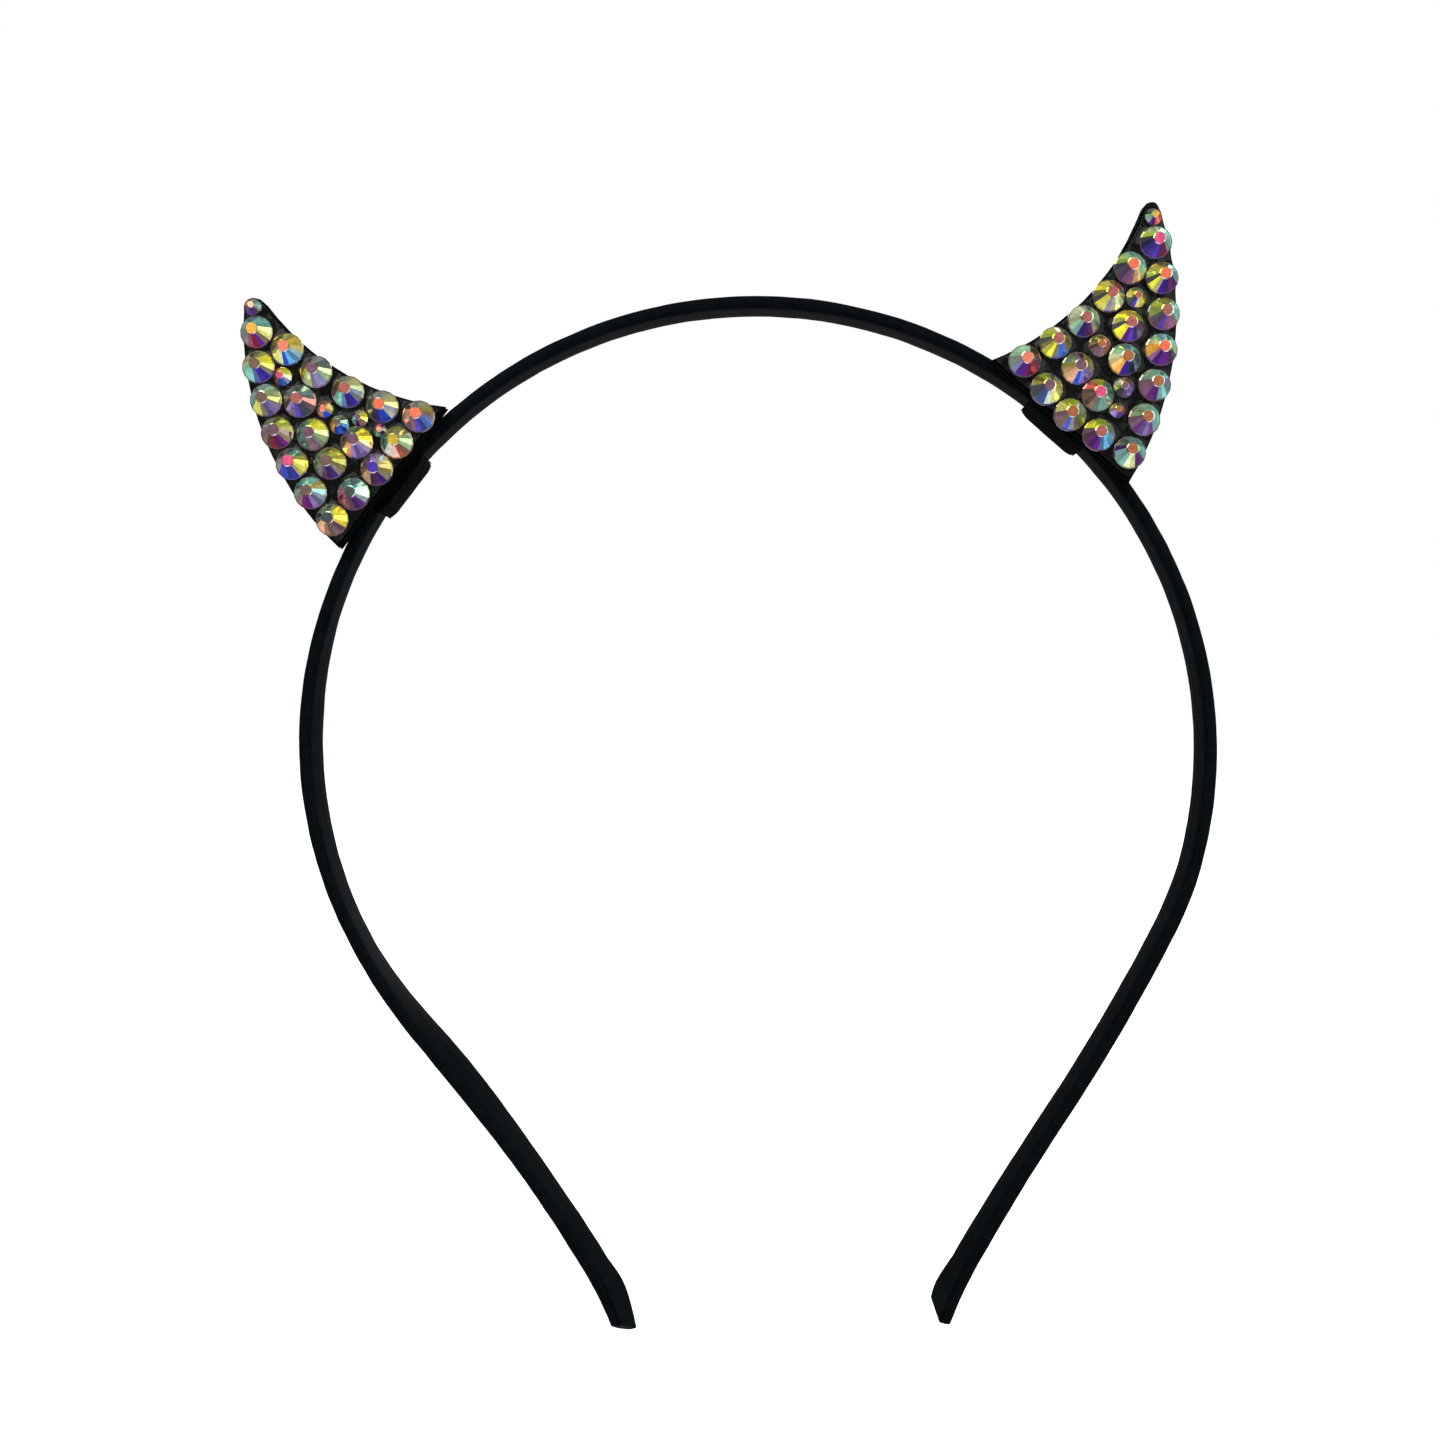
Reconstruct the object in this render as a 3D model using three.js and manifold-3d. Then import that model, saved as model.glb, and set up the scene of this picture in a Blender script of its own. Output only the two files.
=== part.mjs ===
// Devil-horn headband: a spring strip in a satin ribbon cover, bent to an arch, with two small
// felt horns tied to it by wrap straps. Each horn is a sandwich of back felt, card and front
// felt, and its front carries a glue film and a field of crystal flat-backs.
//
// Millimetres, +Z up as worn. The origin is on the inner face of the band at the top of the arch,
// where it sits on the head. The front, with the crystals, faces -Y, and the sides are named as
// seen from the front: left is -X and right is +X.
//
// The strip bends as a spring. It is cut at one flex station on each side of the crown, so that
// each arm, with its horn, can turn about its station.
import * as THREE from 'three';
import { mergeVertices } from 'three/addons/utils/BufferGeometryUtils.js';
import Module from 'manifold-3d';

// ---------------------------------------------------------------- driving dimensions, mm and degrees

const CROWN_RADIUS = 67.7; // centreline over the head, from one side to the other
const CROWN_SWEEP = 40; // the crown's arc reaches this far round on each side

// Each arm is bent by hand, so the two differ a little. The bends follow the crown down to the
// tail and its end, which curve back out with a negative sweep. Twist turns the inner face to the
// front: pairs of a share of the arm's length and an angle.
const ARMS = {
  left: {
    bends: [
      { radius: 63.5, sweep: 85 },
      { radius: 79, sweep: 6 },
      { radius: 265, sweep: -9.3 },
      { radius: 60, sweep: -8.6 },
    ],
    twist: [[0, 0], [0.38, 0], [0.52, 9], [0.66, 6], [0.785, 25], [0.88, 15], [1, 20]],
  },
  right: {
    bends: [
      { radius: 65.3, sweep: 62 },
      { radius: 52.7, sweep: 15.2 },
      { radius: 292, sweep: 6.4 },
      { radius: 389, sweep: -3.5 },
      { radius: 70, sweep: -8.2 },
    ],
    twist: [[0, 0], [0.38, 0], [0.55, 3], [0.85, 6], [1, 14]],
  },
};

const STRIP_THICKNESS = 0.6; // spring strip
const STRIP_WIDTH = 4; // front to back
const STRIP_ROOM = 0.15; // from the strip to its cover, all round
const STRIP_SHORT = 3.5; // the strip ends this far inside each tip, so that it can't wear through
const RIBBON = 0.5; // satin ribbon, wound double, that covers the strip
const COVER_CORNER = 0.8; // the cover's outer corners
const GLUE = 0.1; // glue line between two faces
const FOLD = 0.3; // one layer of ribbon, turned over the tip and up the inner face
const FOLD_LENGTH = 9; // of it on the inner face

const FLEX_ANGLE = 22; // flex stations, from the top of the arch
const FLEX_GAP = 0.6; // cut in the strip and its cover at a flex station

// The horns are cut and tied on by hand, so they differ too. A horn's base middle is along the
// band from its top, and its base is over the band's centreline by the lift. The tip is where the
// edges would meet: its place along the base, towards the crown. The felt is cut round there.
const HORNS = {
  left: {
    along: 61.4, lift: -0.6, base: 25.6, tipAlong: 10.3, tipRadius: 1.6, feet: [0.6, -0.3], sag: 0,
  },
  right: {
    along: 49.2, lift: -1.7, base: 26.7, tipAlong: 12.8, tipRadius: 1.1, feet: [0.7, 0.5], sag: 1.4,
  },
};
const HORN_HEIGHT = 34.1; // from the base to where the edges would meet
const OUTER_BULGE = 5.2; // rise of the outer edge's arc over its chord
const INNER_HOLLOW = 4; // dip of the inner edge's arc under its chord
const FELT = 0.8; // front and back felt
const CARD = 0.6; // stiffener between them
const CARD_INSET = 1.2;
const FILM = 0.25; // glue film that the crystals are set in
const FILM_INSET = 0.3;

const STRAP_LENGTH = 10.5; // along the band
const STRAP = 0.5; // thickness
const STRAP_SLACK = 0.15; // under the band
const STRAP_FLAP = 7; // glued up the back of the horn, above the band

// Crystals stand in three rows along the horn's edges. The feet, in HORNS, raise the first ones
// of the outer and inner rows above the lowest place they fit, and the sag lowers the middle of
// the base row. The large crystals are as large as the tightest row allows.
const ROW_INSET = 2.25; // from the felt's edges to the middle of a row
const OUTER_ROW = 6; // spaces between the large crystals of the outer row
const INNER_ROW = 4;
const BASE_ROW = 4;
const TIP_INSET = 1.6; // from both edges to the tip's small crystal
const TIP_SPACE = 3.75; // from that crystal to the outer row
const STONE_GAP = 0.12; // least gap between two crystals

// Large crystals inside the rows, and then small ones, each as large as its place allows. A
// place is a share of the base, from its middle, and a share of the horn's height.
const FIELD = {
  left: {
    large: [[-0.15, 0.235], [0.03, 0.19], [-0.08, 0.365], [0.03, 0.495]],
    small: [],
  },
  right: {
    large: [[-0.05, 0.175], [0.12, 0.205], [-0.035, 0.365], [0.07, 0.48]],
    small: [[0.14, 0.595], [0.115, 0.34]],
  },
};

// A crystal's cut, in shares of its diameter.
const STONE_HEIGHT = 0.4;
const STONE_TABLE = 0.37; // diameter of the flat top
const STONE_GIRDLE = 0.1; // height of the widest part
const STONE_SIDES = 12;

const STEP = 2.5; // along the band, between sections of the mesh

// ---------------------------------------------------------------- derived sizes

const rad = THREE.MathUtils.degToRad;
const COVER_THICKNESS = STRIP_THICKNESS + 2 * (STRIP_ROOM + RIBBON);
const COVER_WIDTH = STRIP_WIDTH + 2 * (STRIP_ROOM + RIBBON);
const CROWN_TOP = COVER_THICKNESS / 2; // centreline at the top, over the origin
const ARCH_CENTRE = CROWN_TOP - CROWN_RADIUS;
const FLEX_AT = CROWN_RADIUS * rad(FLEX_ANGLE);

// Depths in a horn, in front of the band's middle plane.
const STRAP_FRONT = COVER_WIDTH / 2 + GLUE + STRAP;
const BACK_FELT_AT = STRAP_FRONT + GLUE;
const CARD_AT = BACK_FELT_AT + FELT + GLUE;
const FRONT_FELT_AT = CARD_AT + CARD + GLUE;
const FILM_AT = FRONT_FELT_AT + FELT + GLUE;
const STONES_AT = FILM_AT + FILM + GLUE;

// ---------------------------------------------------------------- materials

const plain = (color, roughness, metalness = 0) =>
  new THREE.MeshStandardMaterial({ color, roughness, metalness, flatShading: true });
const MATERIALS = {
  steel: plain(0x8d9094, 0.35, 0.9),
  satin: plain(0x0d0f12, 0.45),
  felt: plain(0x0a0b0c, 0.95),
  card: plain(0x6b5d4a, 0.9),
  film: plain(0x3b3f3a, 0.2),
  crystal: plain(0xb9b48c, 0.08, 0.6),
};

// ---------------------------------------------------------------- the band's centreline

// One side's arcs, laid end to end from the crown down. A negative radius curves back outwards.
function arcsOf(arm) {
  const arcs = [{ radius: CROWN_RADIUS, sweep: CROWN_SWEEP }, ...arm.bends].map(
    ({ radius, sweep }) => ({ radius: radius * Math.sign(sweep), turn: rad(sweep) }));
  let [x, z, heading, start] = [0, CROWN_TOP, 0, 0];
  for (const arc of arcs) {
    arc.start = start;
    arc.heading = heading;
    arc.x = x - arc.radius * Math.sin(heading);
    arc.z = z - arc.radius * Math.cos(heading);
    heading += arc.turn;
    x = arc.x + arc.radius * Math.sin(heading);
    z = arc.z + arc.radius * Math.cos(heading);
    start += arc.radius * arc.turn;
  }
  return { arcs, length: start };
}

const SIDES = { left: arcsOf(ARMS.left), right: arcsOf(ARMS.right) };

// Twist of an arm at a share of its length, eased from each pair to the next.
function twistAt(arm, share) {
  const next = arm.twist.findIndex(([at]) => at >= share);
  if (next < 1) return next < 0 ? arm.twist.at(-1)[1] : arm.twist[0][1];
  const [from, low] = arm.twist[next - 1];
  const [to, high] = arm.twist[next];
  return THREE.MathUtils.lerp(low, high, THREE.MathUtils.smoothstep(share, from, to));
}

// The band at a signed distance from the crown: its point, its direction from left to right, the
// outward normal of its broad face, and its depth axis, which points to the front.
function bandAt(distance) {
  const side = distance < 0 ? 'left' : 'right';
  const sign = distance < 0 ? -1 : 1;
  const along = Math.abs(distance);
  const { arcs, length } = SIDES[side];
  const arc = arcs.findLast((a) => a.start <= along) ?? arcs[0];
  const heading = arc.heading + (along - arc.start) / arc.radius;
  const [s, c] = [Math.sin(heading), Math.cos(heading)];
  const point = new THREE.Vector3(sign * (arc.x + arc.radius * s), 0, arc.z + arc.radius * c);
  const tangent = new THREE.Vector3(c, 0, -sign * s);
  const twist = rad(twistAt(ARMS[side], along / length));
  const front = new THREE.Vector3(0, -1, 0);
  const normal = new THREE.Vector3(sign * s, 0, c)
    .multiplyScalar(Math.cos(twist))
    .addScaledVector(front, -Math.sin(twist));
  const depth = new THREE.Vector3().crossVectors(tangent, normal);
  return { point, tangent, normal, depth };
}

// A stretch of the band as an extrusion path, with the band's own frames.
class BandStretch extends THREE.Curve {
  constructor(from, to) {
    super();
    this.from = from;
    this.to = to;
  }

  getPoint(share, target = new THREE.Vector3()) {
    return target.copy(bandAt(THREE.MathUtils.lerp(this.from, this.to, share)).point);
  }

  getPointAt(share, target) {
    return this.getPoint(share, target);
  }

  computeFrenetFrames(segments) {
    const frames = { tangents: [], normals: [], binormals: [] };
    for (let i = 0; i <= segments; i += 1) {
      const at = bandAt(THREE.MathUtils.lerp(this.from, this.to, i / segments));
      frames.tangents.push(at.tangent);
      frames.normals.push(at.normal);
      frames.binormals.push(at.depth);
    }
    return frames;
  }
}

// ---------------------------------------------------------------- solids along the band

// A closed path round a rectangle, low to high on each axis.
function rectangle(path, [x0, x1], [y0, y1]) {
  path.moveTo(x0, y0);
  path.lineTo(x1, y0);
  path.lineTo(x1, y1);
  path.lineTo(x0, y1);
  path.closePath();
  return path;
}

const centred = (size) => [-size / 2, size / 2];

function alongBand(shape, from, to) {
  const steps = Math.max(1, Math.ceil((to - from) / STEP));
  const extrudePath = new BandStretch(from, to);
  return new THREE.ExtrudeGeometry(shape, { steps, curveSegments: 1, extrudePath });
}

function stripSolid(from, to) {
  const section = rectangle(new THREE.Shape(), centred(STRIP_THICKNESS), centred(STRIP_WIDTH));
  return alongBand(section, from, to);
}

function coverSolid(from, to) {
  const section = new THREE.Shape();
  const x = COVER_THICKNESS / 2 - COVER_CORNER;
  const y = COVER_WIDTH / 2 - COVER_CORNER;
  const quarter = Math.PI / 2;
  [[x, y], [-x, y], [-x, -y], [x, -y]].forEach(([cx, cy], i) =>
    section.absarc(cx, cy, COVER_CORNER, i * quarter, (i + 1) * quarter));
  section.closePath();
  const room = 2 * STRIP_ROOM;
  section.holes.push(rectangle(
    new THREE.Path(), centred(STRIP_THICKNESS + room), centred(STRIP_WIDTH + room)));
  return alongBand(section, from, to);
}

// The ribbon's end: a plate over the tip and a flap up the inner face, in one piece.
function foldSolid(wasm, side) {
  const sign = side === 'left' ? -1 : 1;
  const tip = SIDES[side].length;
  const inner = -COVER_THICKNESS / 2 - GLUE;
  const end = tip + GLUE + FOLD;
  const stretch = (high, near) => {
    const section = rectangle(new THREE.Shape(), [inner - FOLD, high], centred(COVER_WIDTH));
    const [from, to] = [sign * near, sign * end].sort((a, b) => a - b);
    return solidOf(wasm, alongBand(section, from, to));
  };
  const flap = stretch(inner, tip - FOLD_LENGTH);
  const plate = stretch(COVER_THICKNESS / 2, tip + GLUE);
  return geometryOf(flap.add(plate));
}

// ---------------------------------------------------------------- booleans

const WELD = 1e-4; // vertices closer than this are one

function solidOf(wasm, geometry) {
  const bare = geometry.clone();
  bare.deleteAttribute('normal');
  bare.deleteAttribute('uv');
  const merged = mergeVertices(bare, WELD);
  return new wasm.Manifold(new wasm.Mesh({
    numProp: 3,
    vertProperties: merged.attributes.position.array,
    triVerts: new Uint32Array(merged.index.array),
  }));
}

function geometryOf(solid) {
  const mesh = solid.getMesh();
  const geometry = new THREE.BufferGeometry();
  geometry.setAttribute('position', new THREE.BufferAttribute(mesh.vertProperties, 3));
  geometry.setIndex(new THREE.BufferAttribute(mesh.triVerts, 1));
  geometry.computeVertexNormals();
  return geometry;
}

// ---------------------------------------------------------------- a horn's outline

// A horn is drawn in its own plane: x along the base towards the crown, y away from the band.
// The circle through a and b that rises over the chord, to the left of the way from a to b.
function bow(a, b, rise) {
  const half = a.distanceTo(b) / 2;
  const radius = (half * half + rise * rise) / (2 * rise);
  const across = new THREE.Vector2(a.y - b.y, b.x - a.x).normalize();
  const centre = a.clone().add(b).multiplyScalar(0.5).addScaledVector(across, rise - radius);
  return { centre, radius };
}

// Where two circles cross, lower point first.
function crossings(p, q) {
  const between = q.centre.clone().sub(p.centre);
  const distance = between.length();
  const along = (distance ** 2 + p.radius ** 2 - q.radius ** 2) / (2 * distance);
  const off = Math.sqrt(p.radius ** 2 - along ** 2);
  between.divideScalar(distance);
  const foot = p.centre.clone().addScaledVector(between, along);
  const across = new THREE.Vector2(-between.y, between.x).multiplyScalar(off);
  const both = [foot.clone().add(across), foot.clone().sub(across)];
  return both.sort((a, b) => a.y - b.y);
}

// Where a circle crosses a level, on its own left.
function levelCrossing(circle, level) {
  const half = Math.sqrt(circle.radius ** 2 - (level - circle.centre.y) ** 2);
  return new THREE.Vector2(circle.centre.x - half, level);
}

const angleOn = (circle, point) =>
  Math.atan2(point.y - circle.centre.y, point.x - circle.centre.x);

// The angle from a to b the short way round.
function turn(a, b) {
  const full = 2 * Math.PI;
  return THREE.MathUtils.euclideanModulo(b - a + Math.PI, full) - Math.PI;
}

// An edge between two points of a circle, by share of the way.
function edge(circle, from, to) {
  const start = angleOn(circle, from);
  const sweep = turn(start, angleOn(circle, to));
  return {
    length: Math.abs(sweep) * circle.radius,
    at: (share) => new THREE.Vector2(circle.radius, 0)
      .rotateAround(new THREE.Vector2(), start + sweep * share)
      .add(circle.centre),
  };
}

// The horn's edges, moved in by an inset: the outer edge bulges and the inner edge is hollow.
// Both circles have their centres on the crown's side. The feet raise the edges' lower ends.
function hornEdges(horn, inset, feet = [0, 0]) {
  const outerCorner = new THREE.Vector2(-horn.base / 2, 0);
  const innerCorner = new THREE.Vector2(horn.base / 2, 0);
  const tip = new THREE.Vector2(horn.tipAlong, HORN_HEIGHT);
  const outer = bow(outerCorner, tip, OUTER_BULGE);
  const inner = bow(innerCorner, tip, INNER_HOLLOW);
  outer.radius -= inset;
  inner.radius += inset;
  const low = levelCrossing(outer, inset + feet[0]);
  const high = levelCrossing(inner, inset + feet[1]);
  return { outer, inner, low, high, top: crossings(outer, inner)[1] };
}

const EDGE_POINTS = 14;
const TIP_POINTS = 5;
const LEAST_TIP = 1 / 3; // of the felt's tip radius, left on a layer that is moved in

// The horn's outline as a shape, with a round tip. The hand is 1, or -1 for the mirror image.
function hornShape(horn, inset, hand) {
  const { outer, inner, low, high } = hornEdges(horn, inset);
  const radius = Math.max(horn.tipRadius - inset, LEAST_TIP * horn.tipRadius);
  const centre = hornEdges(horn, inset + radius).top;
  const onto = (circle, sign) =>
    centre.clone().sub(circle.centre).setLength(radius * sign).add(centre);
  const [outerEnd, innerEnd] = [onto(outer, 1), onto(inner, -1)];
  const round = edge({ centre, radius }, innerEnd, outerEnd);
  const stretches = [
    [edge(inner, high, innerEnd), EDGE_POINTS],
    [round, TIP_POINTS],
    [edge(outer, outerEnd, low), EDGE_POINTS],
  ];
  const points = stretches.flatMap(([curve, count]) =>
    Array.from({ length: count }, (_, i) => curve.at(i / count)));
  points.push(low);
  return new THREE.Shape(points.map((p) => new THREE.Vector2(hand * p.x, p.y)));
}

// ---------------------------------------------------------------- the field of crystals

// The three rows of a horn, as lists of places, and the tip's place.
function stoneRows(horn) {
  const { outer, inner, low, high } = hornEdges(horn, ROW_INSET, horn.feet);
  const tip = hornEdges(horn, TIP_INSET).top;
  const [outerLast] = crossings(outer, { centre: tip, radius: TIP_SPACE });
  const outerEdge = edge(outer, low, outerLast);
  const next = { centre: outerLast, radius: outerEdge.length / OUTER_ROW };
  const [innerLast] = crossings(inner, next);
  const innerEdge = edge(inner, high, innerLast);
  const along = (count, at) => Array.from({ length: count + 1 }, (_, i) => at(i / count));
  const sagging = (share) => {
    const place = low.clone().lerp(high, share);
    place.y -= horn.sag * Math.sin(Math.PI * share);
    return place;
  };
  return {
    outer: along(OUTER_ROW, outerEdge.at),
    inner: along(INNER_ROW, innerEdge.at),
    base: along(BASE_ROW, sagging),
    tip,
  };
}

// The least distance between neighbours in the rows of both horns sets the large crystals' size.
function largeDiameter() {
  const rows = Object.values(HORNS).map(stoneRows).flatMap(({ outer, inner, base }) =>
    [outer, inner, base]);
  const pitches = rows.flatMap((row) => row.slice(1).map((place, i) => place.distanceTo(row[i])));
  return Math.min(...pitches) - STONE_GAP;
}

const SETTLE_ROUNDS = 400; // at most
const SETTLE_SLACK = 0.012; // a push goes this far past the gap, so that the rounds come to an end

// Pushes crystals that crowd each other apart until every pair keeps its gap.
function settle(stones) {
  for (let round = 0; round < SETTLE_ROUNDS; round += 1) {
    let moved = false;
    stones.forEach((a, i) => stones.slice(i + 1).forEach((b) => {
      const apart = b.place.clone().sub(a.place);
      const short = (a.diameter + b.diameter) / 2 + STONE_GAP - apart.length();
      if (short <= 0) return;
      apart.setLength((short + SETTLE_SLACK) / 2);
      a.place.sub(apart);
      b.place.add(apart);
      moved = true;
    }));
    if (!moved) break;
  }
}

// The largest diameter that a place allows among the crystals already there.
function roomAt(place, stones) {
  const rooms = stones.map((stone) => stone.place.distanceTo(place) - stone.diameter / 2);
  return 2 * (Math.min(...rooms) - STONE_GAP);
}

// Every crystal of a horn that has a node, with its diameter and its place in the horn's plane.
function stoneField(side) {
  const horn = HORNS[side];
  const diameter = largeDiameter();
  const rows = stoneRows(horn);
  const seat = ([across, up]) => new THREE.Vector2(across * horn.base, up * HORN_HEIGHT);
  const stones = [];
  const addAll = (name, places) => places.forEach((place, i) =>
    stones.push({ name: `${side}_${name}_crystal_${i + 1}`, diameter, place }));
  addAll('outer', rows.outer);
  addAll('inner', rows.inner);
  addAll('base', rows.base.slice(1, -1));
  addAll('field', FIELD[side].large.map(seat));
  settle(stones);
  const fill = (name, place) =>
    stones.push({ name: `${side}_${name}`, diameter: roomAt(place, stones), place });
  fill('tip_crystal', rows.tip);
  FIELD[side].small.map(seat).forEach((place, i) => fill(`small_crystal_${i + 1}`, place));
  return stones;
}

function stoneSolid(diameter) {
  const profile = [
    [0, 0],
    [0.5, 0],
    [0.5, STONE_GIRDLE],
    [STONE_TABLE / 2, STONE_HEIGHT],
    [0, STONE_HEIGHT],
  ].map(([x, y]) => new THREE.Vector2(x, y).multiplyScalar(diameter));
  return new THREE.LatheGeometry(profile, STONE_SIDES);
}

// ---------------------------------------------------------------- assembly

function mesh(name, geometry, material) {
  const made = new THREE.Mesh(geometry, MATERIALS[material]);
  made.name = name;
  return made;
}

// A flat layer of a horn, from a depth towards the front.
function layer(name, shape, at, thickness, material) {
  const geometry = new THREE.ExtrudeGeometry(shape, { depth: thickness, bevelEnabled: false });
  const made = mesh(name, geometry, material);
  made.position.z = at;
  return made;
}

// The wrap strap: a closed loop round the band, with a flap glued up the back of the horn. Its
// window clears the band, whose ends drop away from the strap's middle. It is drawn across the
// band, x to the front and y away from the head, from the band's centreline.
function strapSolid(along) {
  const middle = bandAt(along);
  const drops = [-0.5, 0.5].map((share) =>
    middle.point.clone().sub(bandAt(along + share * STRAP_LENGTH).point).dot(middle.normal));
  const [half, side] = [COVER_THICKNESS / 2, COVER_WIDTH / 2 + GLUE];
  const low = -half - Math.max(...drops) - STRAP_SLACK;
  const high = half + GLUE;
  const shape = new THREE.Shape();
  shape.moveTo(-side - STRAP, low - STRAP);
  shape.lineTo(side + STRAP, low - STRAP);
  shape.lineTo(side + STRAP, half + STRAP_FLAP);
  shape.lineTo(side, half + STRAP_FLAP);
  shape.lineTo(side, high + STRAP);
  shape.lineTo(-side - STRAP, high + STRAP);
  shape.closePath();
  shape.holes.push(rectangle(new THREE.Path(), [-side, side], [low, high]));
  return new THREE.ExtrudeGeometry(shape, { depth: STRAP_LENGTH, bevelEnabled: false })
    .translate(0, 0, -STRAP_LENGTH / 2)
    .rotateY(-Math.PI / 2);
}

// A horn with its strap and crystals, drawn in its plane and set up on the band.
function hornAssembly(side) {
  const horn = HORNS[side];
  const hand = side === 'left' ? 1 : -1;
  const { point, tangent } = bandAt(-hand * horn.along);
  const shape = (inset) => hornShape(horn, inset, hand);

  const sketch = new THREE.Group();
  sketch.position.z = horn.lift;
  sketch.rotation.x = Math.PI / 2;
  sketch.add(
    layer(`${side}_back_felt`, shape(0), BACK_FELT_AT, FELT, 'felt'),
    layer(`${side}_horn_card`, shape(CARD_INSET), CARD_AT, CARD, 'card'),
    layer(`${side}_front_felt`, shape(0), FRONT_FELT_AT, FELT, 'felt'),
    layer(`${side}_glue_film`, shape(FILM_INSET), FILM_AT, FILM, 'film'),
  );
  for (const { name, diameter, place } of stoneField(side)) {
    const stone = mesh(name, stoneSolid(diameter), 'crystal');
    stone.rotation.x = Math.PI / 2;
    stone.position.set(hand * place.x, place.y, STONES_AT);
    sketch.add(stone);
  }
  const strap = mesh(`${side}_wrap_strap`, strapSolid(-hand * horn.along), 'felt');
  strap.rotation.x = Math.PI / 2;

  const placed = new THREE.Group();
  placed.add(sketch, strap);
  placed.rotation.y = -Math.atan2(tangent.z, tangent.x);
  placed.position.copy(point);
  return placed;
}

const wasm = await Module();
wasm.setup();

const headband = new THREE.Group();
const cut = FLEX_GAP / 2;
const stretches = {
  crown: [-FLEX_AT + cut, FLEX_AT - cut],
  left: [-SIDES.left.length, -FLEX_AT - cut],
  right: [FLEX_AT + cut, SIDES.right.length],
};
const lastFrom = STRIP_SHORT - SIDES.left.length;
const lastTo = SIDES.right.length - STRIP_SHORT;
for (const [name, [from, to]] of Object.entries(stretches)) {
  const strip = stripSolid(Math.max(from, lastFrom), Math.min(to, lastTo));
  headband.add(
    mesh(`${name}_spring_strip`, strip, 'steel'),
    mesh(`${name}_satin_cover`, coverSolid(from, to), 'satin'),
  );
}
for (const side of ['left', 'right']) {
  headband.add(mesh(`${side}_end_fold`, foldSolid(wasm, side), 'satin'), hornAssembly(side));
}

export default headband;
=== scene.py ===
"""Devil-horn headband, dressed for a product shot.

A spring strip in a satin ribbon sleeve is bent to an arch, and two felt horns set with crystal
flat-backs are tied to it by wrap straps. Everything is in metres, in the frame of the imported
model: +Z up as worn, the front with the crystals faces -Y, and left is -X.
"""
import logging
import math
import random
from dataclasses import dataclass
from enum import Enum
from functools import lru_cache

import bmesh
import bpy
from mathutils import Matrix, Vector, noise


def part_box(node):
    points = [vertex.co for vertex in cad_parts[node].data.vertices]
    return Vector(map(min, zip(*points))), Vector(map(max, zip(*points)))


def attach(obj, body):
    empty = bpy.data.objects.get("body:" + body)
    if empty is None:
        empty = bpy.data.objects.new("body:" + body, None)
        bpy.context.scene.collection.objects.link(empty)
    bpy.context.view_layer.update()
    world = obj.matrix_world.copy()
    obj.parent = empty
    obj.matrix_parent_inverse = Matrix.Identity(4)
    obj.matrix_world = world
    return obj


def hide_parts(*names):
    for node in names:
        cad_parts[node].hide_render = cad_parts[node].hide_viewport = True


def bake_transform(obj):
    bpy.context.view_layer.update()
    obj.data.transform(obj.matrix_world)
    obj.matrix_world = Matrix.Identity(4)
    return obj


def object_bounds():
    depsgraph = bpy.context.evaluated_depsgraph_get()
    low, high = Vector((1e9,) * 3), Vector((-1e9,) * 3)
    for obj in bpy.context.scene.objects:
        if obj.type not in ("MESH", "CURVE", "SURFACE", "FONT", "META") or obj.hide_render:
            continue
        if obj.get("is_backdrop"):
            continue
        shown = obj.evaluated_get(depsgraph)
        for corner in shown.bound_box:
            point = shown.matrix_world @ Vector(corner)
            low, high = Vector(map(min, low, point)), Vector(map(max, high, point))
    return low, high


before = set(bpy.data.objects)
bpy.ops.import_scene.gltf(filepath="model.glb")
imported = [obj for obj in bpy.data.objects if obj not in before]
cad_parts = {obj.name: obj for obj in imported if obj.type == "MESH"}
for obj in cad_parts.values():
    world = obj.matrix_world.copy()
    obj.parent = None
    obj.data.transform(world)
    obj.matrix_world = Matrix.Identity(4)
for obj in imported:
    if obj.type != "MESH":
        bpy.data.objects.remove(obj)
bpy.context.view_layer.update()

log = logging.getLogger("headband")

MM = 0.001
TOUCH = 0.01 * MM
BOTH_SIDES = ("left", "right")


# ---------------------------------------------------------------- colours


def linear(hexadecimal: str) -> tuple[float, float, float, float]:
    """Turns a display colour into the shader's linear one.

    Args:
        hexadecimal: six digits, red, green and blue.

    Returns:
        Linear red, green, blue and an alpha of 1.
    """
    parts = [int(hexadecimal[i:i + 2], 16) / 255 for i in (0, 2, 4)]
    toe, slope, offset, power = 0.04045, 12.92, 0.055, 2.4
    made = [p / slope if p <= toe else ((p + offset) / (1 + offset)) ** power for p in parts]
    return (*made, 1.0)


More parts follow.
